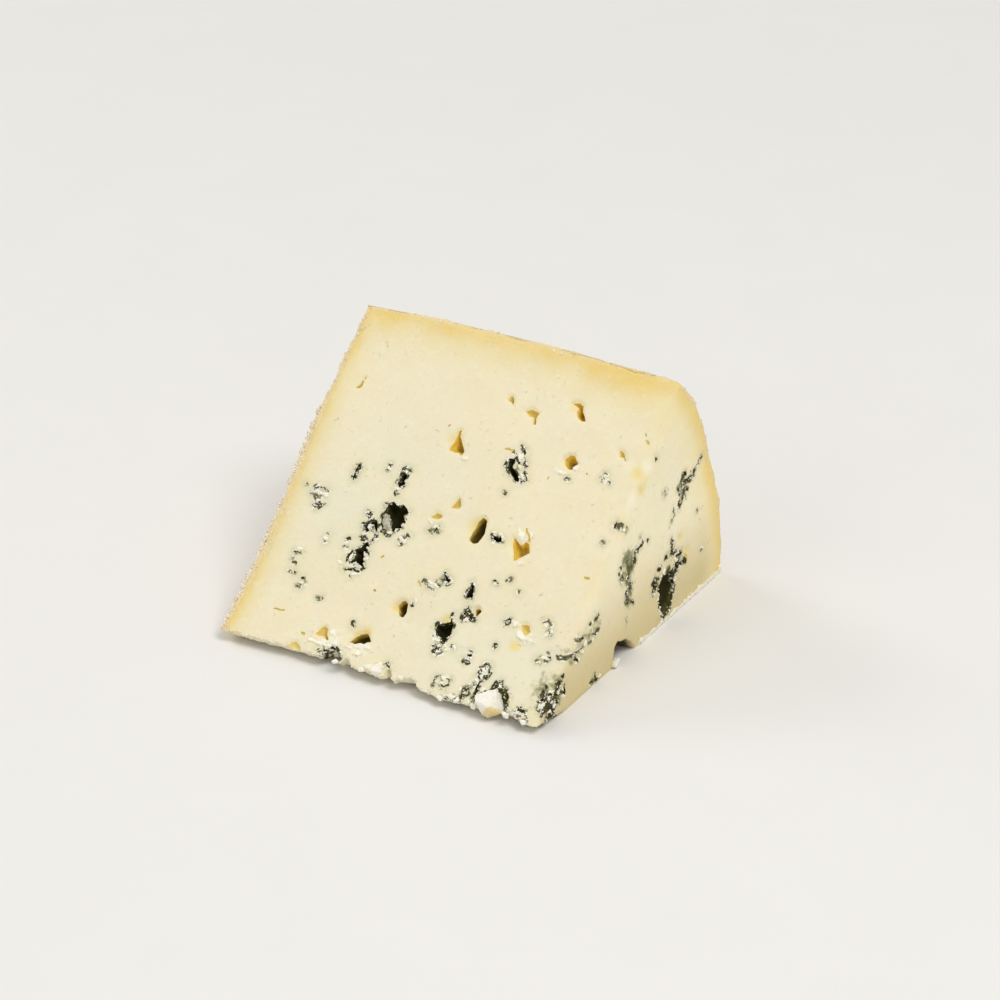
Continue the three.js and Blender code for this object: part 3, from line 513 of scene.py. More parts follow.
class CheeseColours(bpy.types.PropertyGroup):
    """Colours of the paste, mould, eyes and rind"""

    paste: shade("Paste", "Ivory paste in the middle", (0.86, 0.788, 0.57))
    band: shade("Band", "Yellower paste near the rind", (0.84, 0.725, 0.41))
    under_rind: shade("Under Rind", "Tan line just inside the rind", (0.82, 0.60, 0.17))
    # Butter is the dents' own yellow, and also painted light on the eyes' upper-left flanks
    butter: shade("Butter", "Soft yellow of the dents and of the flanks of the eyes", (0.86, 0.70, 0.26))
    flake: shade("Flakes", "White bloom on the flaky rims", (0.97, 0.945, 0.81))
    crumb: shade("Crumbs", "White crumbs and grains", (0.985, 0.95, 0.84))
    rim: shade("Rim", "Cream line along the cut edge of the rind", (0.88, 0.70, 0.36))
    # Painted shade: the paste is darkened towards the foot of the cross cut, near the ground
    cut_foot_shade: shade("Foot Shade", "Darker paste at the foot of the cross cut", (0.68, 0.565, 0.29))
    cool: shade("Cool Paste", "Whiter paste in the regions rich in mould", (0.78, 0.80, 0.68))
    haze: shade("Haze", "Cooler paste in the neighbourhood of the mould", (0.61, 0.60, 0.375))
    cast: shade("Cast", "Grey-green smears of mould", (0.225, 0.225, 0.10))
    slit: shade("Slits", "Olive-yellow lining of the small slits", (0.82, 0.70, 0.28))
    # The eyes' amber is partly their lining's own colour and partly painted light bounced in the hollow
    eye: shade("Eyes", "Amber lining of the open eyes", (0.85, 0.60, 0.085))
    # Painted shade: the floor of the deep eyes is darkened
    eye_floor_shade: shade("Deep Eyes", "Floor of the deep eyes", (0.15, 0.105, 0.028))
    mould: shade("Mould", "Dark green-black mould", (0.030, 0.028, 0.008))
    mould_dust: shade("Mould Dust", "Olive dust at the edge of the mould", (0.115, 0.108, 0.026))
    crust: shade("Crust", "Tan crust of the rind", (0.76, 0.54, 0.28))
    crust_dark: shade("Dark Crust", "Brown pits of the rind", (0.52, 0.34, 0.16))
    bloom: shade("Bloom", "Pale bloom on the rind", (0.88, 0.79, 0.60))


class CheeseStage(bpy.types.PropertyGroup):
    """Camera, light and floor"""

    azimuth: rotation("Azimuth", "Camera's turn round the wedge", 30.24)
    elevation: rotation("Elevation", "Camera's height above the horizon", 27.83)
    distance: length("Distance", "Camera's distance from the drum's axis", 0.9903)
    aim_right: length("Aim Right", "Middle of the picture, right of the drum's axis", 31.77 * MM)
    aim_up: length("Aim Up", "Middle of the picture, above the drum's axis", 47.96 * MM)
    lens: bpy.props.FloatProperty(
        name="Lens", description="Focal length for a 36 mm wide sensor, in millimetres", default=141.2)
    key_power: power("Key", "Power of the soft key light", 22)
    fill_power: power("Fill", "Power of the front fill", 8)
    side_power: power("Side", "Power of the weak light on the rind end", 8)
    world_strength: bpy.props.FloatProperty(
        name="World", description="Strength of the even light from all round", default=0.5)
    floor: shade("Floor", "Pale floor", (0.86, 0.855, 0.84))


def set_mode(mode):
    bpy.ops.object.mode_set(mode=mode)


def clear_selection():
    if bpy.context.object and bpy.context.object.mode != "OBJECT":
        set_mode("OBJECT")
    bpy.ops.object.select_all(action="DESELECT")


def make_active(piece):
    clear_selection()
    piece.select_set(True)
    bpy.context.view_layer.objects.active = piece


def apply_modifier(piece, kind, **settings):
    """Adds one modifier with its settings and applies it."""
    make_active(piece)
    modifier = piece.modifiers.new(kind.title(), kind)
    for name, value in settings.items():
        setattr(modifier, name, value)
    bpy.ops.object.modifier_apply(modifier=modifier.name)


def remesh(piece, voxel):
    apply_modifier(piece, "REMESH", mode="VOXEL", voxel_size=voxel)


def roughen(piece, feature, height, group="", octaves=2, sharp=False, middle=0.5):
    """Moves the surface in and out by cloud noise of that feature size, where the vertex group lets it."""
    clouds = bpy.data.textures.new(piece.name + "_clouds", "CLOUDS")
    clouds.noise_scale = feature
    clouds.noise_depth = octaves
    clouds.noise_type = "HARD_NOISE" if sharp else "SOFT_NOISE"
    apply_modifier(piece, "DISPLACE", texture=clouds, texture_coords="LOCAL", strength=2 * height,
                   mid_level=middle, vertex_group=group)


def triangles_in(piece):
    return sum(len(p.vertices) - 2 for p in piece.data.polygons)


def thin_out(piece, most, group=""):
    """Brings the piece under its most triangles, first where the vertex group says that it is plain."""
    now = triangles_in(piece)
    if now > most:
        apply_modifier(piece, "DECIMATE", ratio=most / now, vertex_group=group, vertex_group_factor=1)


def normals_of(piece):
    return np.array([v.normal for v in piece.data.vertices])


def points_of(piece):
    found = np.empty(len(piece.data.vertices) * 3, np.float32)
    piece.data.vertices.foreach_get("co", found)
    return found.reshape(-1, 3).astype(float)


def tree_of(piece):
    """A search tree over the piece's faces."""
    polygons = [tuple(p.vertices) for p in piece.data.polygons]
    return BVHTree.FromPolygons([v.co for v in piece.data.vertices], polygons)


def gaps_to(tree, points, most):
    """Distance of each point from the tree's surface, at most that far."""
    gaps = np.full(len(points), most)
    for i, point in enumerate(points):
        near = tree.find_nearest(point, most)[3]
        if near is not None:
            gaps[i] = near
    return gaps


def set_weights(piece, name, weights):
    """A vertex group with one weight for each vertex, kept in a few steps."""
    group = piece.vertex_groups.new(name=name)
    steps = np.round(np.clip(weights, 0, 1) * WEIGHT_STEPS).astype(int)
    for step in range(1, WEIGHT_STEPS + 1):
        found = np.nonzero(steps == step)[0].tolist()
        if found:
            group.add(found, step / WEIGHT_STEPS, "REPLACE")


def set_values(piece, name, values):
    """A float attribute with one value for each vertex."""
    attribute = piece.data.attributes.new(name, "FLOAT", "POINT")
    attribute.data.foreach_set("value", np.asarray(values, np.float32))


def smooth_step(values, start, end):
    """0 at start, 1 at end, eased between."""
    t = np.clip((values - start) / (end - start), 0, 1)
    return t * t * (3 - 2 * t)


def face_frame(origin, along, up):
    """A matrix from a face's own (along, up, out) to the model's frame."""
    turn = Matrix((along, up, along.cross(up))).transposed().to_4x4()
    return Matrix.Translation(origin) @ turn


def on_face(face, along, up, out):
    """A place on a face, standing that far out of its plane."""
    return face @ Vector((along * MM, up * MM, out))


def out_of(face):
    """The direction that a face looks in."""
    return face.to_3x3() @ Vector((0, 0, 1))


def slope_frame(sizes):
    top = Vector((0, math.cos(sizes.wedge_angle), math.sin(sizes.wedge_angle))) * sizes.drum_radius
    up = (top - Vector((0, 0, sizes.tip_lift))).normalized()
    return face_frame(DRUM_AXIS + Vector((0, 0, sizes.tip_lift)), Vector((1, 0, 0)), up)


def cut_frame(sizes):
    origin = DRUM_AXIS + Vector((sizes.wedge_length / 2, 0, 0))
    return face_frame(origin, Vector((0, 1, 0)), Vector((0, 0, 1)))


def ground_frame():
    """The face that the wedge lies on, seen from below."""
    return face_frame(DRUM_AXIS, Vector((-1, 0, 0)), Vector((0, 1, 0)))


def local_points(points, face):
    """Points in a face's own (along, up, out)."""
    back = np.array(face.inverted())
    return points @ back[:3, :3].T + back[:3, 3]


def spokes_of(points):
    """Square from the drum's axis to each point, and how far that is."""
    spokes = points - np.array(DRUM_AXIS)
    spokes[:, 0] = 0
    return spokes, np.linalg.norm(spokes, axis=1)


def select_edges(piece, wanted):
    """Selects the edges whose two ends both pass the test, in object mode."""
    data = piece.data
    for part in (data.vertices, data.edges, data.polygons):
        for element in part:
            element.select = False
    for edge in data.edges:
        edge.select = all(wanted(data.vertices[i].co) for i in edge.vertices)


def sector(name, radius, left, right, start, angle):
    """A closed wedge of a drum round the drum's axis, spun from a flat radial cut."""
    clear_selection()
    bpy.ops.mesh.primitive_plane_add(size=1, location=((left + right) / 2, DRUM_AXIS.y + radius / 2, 0))
    piece = bpy.context.object
    piece.name = name
    piece.scale = (right - left, radius, 1)
    bpy.ops.object.transform_apply(location=True, rotation=True, scale=True)
    to_axis = Matrix.Translation(DRUM_AXIS)
    piece.data.transform(to_axis @ Matrix.Rotation(start, 4, "X") @ to_axis.inverted())
    set_mode("EDIT")
    bpy.ops.mesh.select_all(action="SELECT")
    bpy.ops.mesh.spin(steps=SPIN_STEPS, angle=-angle, center=DRUM_AXIS, axis=(1, 0, 0))
    bpy.ops.mesh.select_all(action="SELECT")
    bpy.ops.mesh.remove_doubles(threshold=0.1 * TOUCH)
    bpy.ops.mesh.normals_make_consistent(inside=False)
    set_mode("OBJECT")
    return piece


def lift_tip(piece, sizes):
    """Splits the ground face behind the tip and raises the tip edge off the ground."""
    make_active(piece)
    for polygon in piece.data.polygons:
        polygon.select = polygon.normal.z < -0.99
    set_mode("EDIT")
    bpy.ops.mesh.bisect(plane_co=(0, DRUM_AXIS.y + sizes.undercut, 0), plane_no=(0, 1, 0))
    set_mode("OBJECT")
    select_edges(piece, lambda p: abs(p.y - DRUM_AXIS.y) < TOUCH and abs(p.z) < TOUCH)
    set_mode("EDIT")
    bpy.ops.transform.translate(value=(0, 0, sizes.tip_lift))
    set_mode("OBJECT")


def soften_edge(piece, sizes):
    """Bevels the edge between the slope and the cross cut."""
    make_active(piece)
    slope = slope_frame(sizes).inverted()
    right = DRUM_AXIS.x + sizes.wedge_length / 2

    def on_edge(p):
        return abs(p.x - right) < TOUCH and abs((slope @ p).z) < 2 * TOUCH

    select_edges(piece, on_edge)
    set_mode("EDIT")
    bpy.ops.mesh.bevel(offset=sizes.soft_edge, segments=EDGE_SEGMENTS, affect="EDGES")
    set_mode("OBJECT")


def blur_edge(piece, sizes):
    """Rounds the middle of that edge further, as the cutting wire smeared it."""
    local = local_points(points_of(piece), slope_frame(sizes)) / MM
    away = np.hypot(local[:, 0] - sizes.wedge_length / 2 / MM, local[:, 2])
    middle = smooth_step(local[:, 1], 2, 26) * smooth_step(local[:, 1], 99, 92)
    set_weights(piece, "smeared", smooth_step(away, 13, 4) * middle)
    apply_modifier(piece, "SMOOTH", factor=0.5, iterations=40, vertex_group="smeared")


def move_points(piece, points):
    piece.data.vertices.foreach_set("co", points.astype(np.float32).ravel())
    piece.data.update()


def swell(piece, sizes):
    """Swells the drum's side out towards its middle."""
    points = points_of(piece)
    spokes, reach = spokes_of(points)
    middle = 1 - ((points[:, 0] - DRUM_AXIS.x) / (sizes.wedge_length / 2)) ** 2
    grow = sizes.rind_bulge * np.clip(middle, 0, 1) * (reach / sizes.drum_radius) ** 6
    move_points(piece, points + spokes / np.maximum(reach, MM)[:, None] * grow[:, None])


def rest_on_floor(piece):
    """Flattens whatever the relief pushed below the floor."""
    points = points_of(piece)
    points[:, 2] = np.maximum(points[:, 2], 0)
    move_points(piece, points)


class Surface:
    """A piece's surface, for setting hollows, veins, crumbs and grains on it."""

    REACH = 8 * MM

    def __init__(self, piece):
        self.tree = tree_of(piece)

    def level(self, face, along, up):
        """How far the surface stands out of the face's plane there, or None beside it."""
        hit = self.tree.ray_cast(on_face(face, along, up, self.REACH), -out_of(face), 2 * self.REACH)[0]
        return (face.inverted() @ hit).z if hit else None

    def out_at(self, face, along, up):
        return self.level(face, along, up) or 0


def new_cutter(name):
    """An empty mesh object, open in edit mode, that hollows are added to."""
    clear_selection()
    bpy.ops.mesh.primitive_circle_add(vertices=3)
    cutter = bpy.context.object
    cutter.name = name
    set_mode("EDIT")
    bpy.ops.mesh.delete(type="VERT")
    return cutter


def sink(cutter, surface, face, corners, depth, grow=1.0, proud=1.5):
    """Adds one hollow: a filled ring on the mouth's corners, extruded inwards and drawn together."""
    middle = np.mean(corners, axis=0)
    level = surface.out_at(face, *middle)
    bpy.ops.mesh.select_all(action="DESELECT")
    bpy.ops.mesh.primitive_circle_add(vertices=len(corners), fill_type="NGON")
    ring = bmesh.from_edit_mesh(cutter.data)
    chosen = [v for v in ring.verts if v.select]
    for vertex, corner in zip(chosen, corners):
        along, up = middle + grow * (np.array(corner) - middle)
        vertex.co = on_face(face, along, up, level + proud * MM)
    bmesh.update_edit_mesh(cutter.data)
    drop = 0
    for share, draw in HOLLOW_STEPS:
        fall = share * depth if drop else proud + share * depth
        drop += fall
        bpy.ops.mesh.extrude_region_move(TRANSFORM_OT_translate={"value": -out_of(face) * fall * MM})
        pivot = on_face(face, *middle, level + (proud - drop) * MM)
        bpy.ops.transform.resize(value=(draw, draw, draw), center_override=pivot)


def close_cutter(cutter, voxel):
    """Turns the hollows' faces outwards and joins them into one clean skin."""
    bpy.ops.mesh.select_all(action="SELECT")
    bpy.ops.mesh.normals_make_consistent(inside=False)
    set_mode("OBJECT")
    remesh(cutter, voxel)


def dense(points, step=0.6):
    """The stroke with more points on it, no further apart than the step."""
    found = [points[0]]
    for start, end in zip(points, points[1:]):
        parts = max(1, math.ceil(math.dist(start, end) / step))
        for i in range(1, parts + 1):
            found.append(tuple(a + (b - a) * i / parts for a, b in zip(start, end)))
    return found


def vein_tubes(name, surface, rows):
    """One mesh of tapered, uneven tubes, stacked through the surface: rows of a face and its strokes."""
    rng = np.random.default_rng(VEIN_SEED)
    data = bpy.data.curves.new(name, "CURVE")
    data.dimensions = "3D"
    data.bevel_depth = MM
    data.bevel_resolution = 2
    data.use_fill_caps = True
    for face, strokes in rows:
        for width, *stroke in strokes:
            points = dense(stroke)
            last = len(points) - 1
            drift = rng.normal(0, VEIN_DRIFT, (last + 1, 2))
            swell_by = rng.uniform(*VEIN_SWELL, last + 1)
            levels = [surface.out_at(face, along, up) for along, up in points]
            for lift in VEIN_LEVELS:
                spline = data.splines.new("POLY")
                spline.points.add(last)
                for i, (along, up) in enumerate(points + drift):
                    place = on_face(face, along, up, levels[i] + lift * MM)
                    spline.points[i].co = (*place, 1)
                    taper = VEIN_TAPER if i in (0, last) and last > 1 else 1
                    spline.points[i].radius = width * taper * swell_by[i]
    tubes = bpy.data.objects.new(name, data)
    bpy.context.collection.objects.link(tubes)
    make_active(tubes)
    bpy.ops.object.convert(target="MESH")
    return bpy.context.object


def carry(piece):
    """Hides the CAD wedge, which the piece stands in for, and parents the piece to the root body."""
    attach(piece, "root")
    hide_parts("cheese_wedge")


def finish_with(piece, material):
    """Shades the piece smooth, gives it that one material all over and carries it with the wedge."""
    make_active(piece)
    bpy.ops.object.shade_smooth()
    piece.data.materials.clear()
    piece.data.materials.append(material)
    piece.data.polygons.foreach_set("material_index", np.zeros(len(piece.data.polygons), np.int32))
    carry(piece)


def join(first, *others):
    make_active(first)
    for other in others:
        other.select_set(True)
    bpy.ops.object.join()
    return first


def cut_away(piece, cutter):
    apply_modifier(piece, "BOOLEAN", operation="DIFFERENCE", solver="MANIFOLD", object=cutter)


def tuck_under_rind(paste, sizes):
    """Draws the paste well in under the rind, except along its cut edges."""
    points = points_of(paste)
    spokes, reach = spokes_of(points)
    half = sizes.wedge_length / 2
    along = points[:, 0] - DRUM_AXIS.x
    from_end = along + half
    from_cut = half - along
    from_slope = -local_points(points, slope_frame(sizes))[:, 2]
    from_side = sizes.drum_radius - reach
    inner = smooth_step(np.minimum(np.minimum(from_slope, from_cut), points[:, 2]), 1.2 * MM, 4 * MM)
    fall = sizes.rind_bed * inner
    side_fall = fall * smooth_step(from_side, 4 * MM, 1.5 * MM)
    points -= spokes / np.maximum(reach, MM)[:, None] * side_fall[:, None]
    points[:, 0] += fall * smooth_step(from_end, 4 * MM, 1.5 * MM)
    move_points(paste, points)


def slow_waves(piece, sizes, group):
    """The slow waves that the paste and the rind share."""
    roughen(piece, 24 * MM, sizes.paste_wave, group)
    roughen(piece, 7 * MM, 0.22 * sizes.paste_wave, group)


def bare_paste(sizes):
    """The sector of paste with its lifted tip, soft edge and slow waves, before its hollows are cut."""
    inset = sizes.rind_lap
    half = sizes.wedge_length / 2
    paste = sector("paste", sizes.drum_radius - inset, DRUM_AXIS.x - half + inset, DRUM_AXIS.x + half, 0,
                   sizes.wedge_angle)
    lift_tip(paste, sizes)
    soften_edge(paste, sizes)
    remesh(paste, sizes.body_voxel)
    blur_edge(paste, sizes)
    tuck_under_rind(paste, sizes)
    swell(paste, sizes)
    points = points_of(paste)
    set_weights(paste, "cut_faces", smooth_step(points[:, 2], 0.2 * MM, 4 * MM))
    roughen(paste, 9 * MM, 0.7 * sizes.paste_wave, "smeared")
    slow_waves(paste, sizes, "cut_faces")
    return paste


def tip_cutter(slope):
    """What has broken off below the tip edge."""
    cutter = new_cutter("broken_tip")
    outline = [*TIP_EDGE, (TIP_EDGE[-1][0], TIP_CUT_FOOT), (TIP_EDGE[0][0], TIP_CUT_FOOT)]
    bpy.ops.mesh.primitive_circle_add(vertices=len(outline), fill_type="NGON")
    ring = bmesh.from_edit_mesh(cutter.data)
    for vertex, (along, up) in zip(ring.verts, outline):
        vertex.co = on_face(slope, along, up, TIP_CUT_START * MM)
    bmesh.update_edit_mesh(cutter.data)
    bpy.ops.mesh.extrude_region_move(TRANSFORM_OT_translate={"value": -out_of(slope) * TIP_CUT_DEPTH * MM})
    close_cutter(cutter, CUTTER_VOXEL)
    roughen(cutter, 2.2 * MM, 0.5 * MM)
    return cutter


def hidden(rows):
    """The rows that are repeated, mirrored, in the face that the wedge lies on."""
    low, high = HIDDEN_UP

    def inner(points):
        return all(abs(along) < HIDDEN_ALONG and low < up < high for along, up in points)

    return [row for row in rows if inner(row[1:])][::2]


def eye_cutter(surface, slope, voxel):
    """The open eyes."""
    cutter = new_cutter("eye_hollows")
    for face, rows in ((slope, SLOPE_EYES), (ground_frame(), hidden(SLOPE_EYES))):
        for depth, *corners in rows:
            sink(cutter, surface, face, corners, 1.4 * depth, 1.06)
    close_cutter(cutter, voxel)
    apply_modifier(cutter, "SMOOTH", factor=0.5, iterations=5)
    roughen(cutter, 1.3 * MM, 0.2 * MM, octaves=3)
    return cutter


def slit_cutter(surface, slope, cut, voxel):
    """The small eyes and slits."""
    strokes = ((slope, SLOPE_SLITS), (cut, CUT_SLITS), (ground_frame(), hidden(SLOPE_SLITS)))
    cutter = vein_tubes("slits", surface, strokes)
    remesh(cutter, voxel)
    roughen(cutter, 0.7 * MM, 0.15 * MM)
    return cutter


def mould_cutter(surface, slope, cut, voxel):
    """The ragged mould pockets and the thin veins between them."""
    cutter = new_cutter("mould_hollows")
    ground = ground_frame()
    for face, rows in ((slope, SLOPE_POCKETS), (cut, CUT_POCKETS), (ground, hidden(SLOPE_POCKETS))):
        for depth, *corners in rows:
            sink(cutter, surface, face, corners, depth, 1.14)
    close_cutter(cutter, voxel)
    roughen(cutter, 1.5 * MM, 0.28 * MM, octaves=3, sharp=True)
    strokes = ((slope, SLOPE_VEINS), (cut, CUT_VEINS), (ground, hidden(SLOPE_VEINS)))
    join(cutter, vein_tubes("veins", surface, strokes))
    remesh(cutter, voxel)
    roughen(cutter, 0.7 * MM, 0.13 * MM)
    return cutter


def foot_cutter(surface, cut):
    """The piece broken out of the foot of the cross cut."""
    cutter = new_cutter("foot_hollow")
    sink(cutter, surface, cut, FOOT_HOLLOW, FOOT_HOLLOW_DEPTH)
    close_cutter(cutter, CUTTER_VOXEL)
    roughen(cutter, 5 * MM, 0.8 * MM)
    roughen(cutter, 1.5 * MM, 0.25 * MM)
    return cutter


def spots_at(points, face, rows, deepest=8):
    """Strength of soft round spots at each point: rows of along, up, radius and strength on that face."""
    local = local_points(points, face) / MM
    near = smooth_step(np.abs(local[:, 2]), deepest, deepest / 2)
    found = np.zeros(len(points))
    for along, up, radius, strength in rows:
        reach = np.hypot(local[:, 0] - along, local[:, 1] - up) / radius
        found = np.maximum(found, strength * (np.exp(-reach ** 2) * near))
    return found


def marbling(points, slope):
    """Strength of the crumbly marbling at each point, on the ground face mirrored from the slope."""
    under = spots_at(points, ground_frame(), SLOPE_CAST[::2], 1)
    return np.maximum(spots_at(points, slope, SLOPE_CAST), under)


def stain_at(points, face, rows):
    """Strength of the yellow of the dents at each point, however deep they are."""
    return spots_at(points, face, [(*place, 1) for *place, _ in rows], DENT_REACH)


def ripple(points, feature, seed):
    """Uneven values round zero at each point, from a few crossed waves."""
    rng = np.random.default_rng(seed)
    total = np.zeros(len(points))
    for _ in range(7):
        wave = rng.normal(0, 1, 3)
        wave *= math.tau / (feature * rng.uniform(0.7, 1.5) * np.linalg.norm(wave))
        total += np.sin(points @ wave + rng.uniform(0, math.tau))
    return total / 3


def mouth(corners):
    """The middle of a hollow's mouth, and how far its corners reach from there."""
    middle = np.mean(corners, axis=0)
    return middle, np.linalg.norm(corners - middle, axis=1).max()


def lit_flank_at(points, face):
    """Strength of the soft yellow on each open eye's upper-left flank, painted light standing for its lit
    wall.
    """
    rows = []
    for depth, *corners in SLOPE_EYES:
        middle, reach = mouth(corners)
        place = middle + 0.5 * reach * np.array((-0.8, 0.6))
        rows.append((*place, 0.65 * reach, np.clip((depth - 1) / 1.5, 0.25, 1)))
    return spots_at(points, face, rows, 4)


def bowl_at(points, face, rows):
    """Which points lie in an open eye: a fifth in the shallowest ones, one in the deepest ones."""
    local = local_points(points, face) / MM
    bowl = np.zeros(len(points))
    near = smooth_step(np.abs(local[:, 2]), 10, 8)
    for depth, *corners in rows:
        middle, reach = mouth(corners)
        away = np.hypot(local[:, 0] - middle[0], local[:, 1] - middle[1])
        inside = smooth_step(away, 1.5 * reach, 1.2 * reach) * near
        bowl = np.maximum(bowl, inside * np.interp(depth, EYE_DEPTHS, EYE_BOWLS))
    return bowl


def lip_at(points, cut):
    """Strength of the ragged white lip along the foot of the cross cut."""
    local = local_points(points, cut) / MM
    height = local[:, 1] - 0.6 * ripple(points, 4 * MM, 5) - 0.25 * ripple(points, 1.2 * MM, 6)
    near = smooth_step(np.abs(local[:, 2]), 3, 1) * smooth_step(local[:, 0], 50, 56)
    return smooth_step(height, 1.9, 1.0) * near


def flake_at(points, face, rows):
    """Strength of the torn flakes at each point, and how high they stand there."""
    local = local_points(points, face) / MM
    pale = np.zeros(len(points))
    rise = np.zeros(len(points))
    near = smooth_step(np.abs(local[:, 2]), 4, 2)
    ragged = 0.3 * ripple(points, 1.6 * MM, 3) + 0.2 * ripple(points, 0.9 * MM, 4)
    for along, up, span, width, turn in rows:
        aim = math.radians(turn)
        right = local[:, 0] - along
        over = local[:, 1] - up
        lengthways = (right * math.cos(aim) + over * math.sin(aim)) / (0.5 * span)
        crossways = (over * math.cos(aim) - right * math.sin(aim)) / (0.5 * width)
        shape = smooth_step(np.exp(-lengthways ** 2 - crossways ** 2) + ragged, 0.4, 0.75) * near
        shape = np.where(lengthways ** 2 + crossways ** 2 < 4, shape, 0)
        pale = np.maximum(pale, shape)
        rise = np.maximum(rise, shape * min(0.4 * width, 0.55))
    return pale, rise * np.clip(0.8 + ragged, 0.3, 1.3)


def push_out(piece, face, heights):
    """Moves each vertex out of the face by its own height in millimetres."""
    move_points(piece, points_of(piece) + heights[:, None] * MM * np.array(out_of(face)))


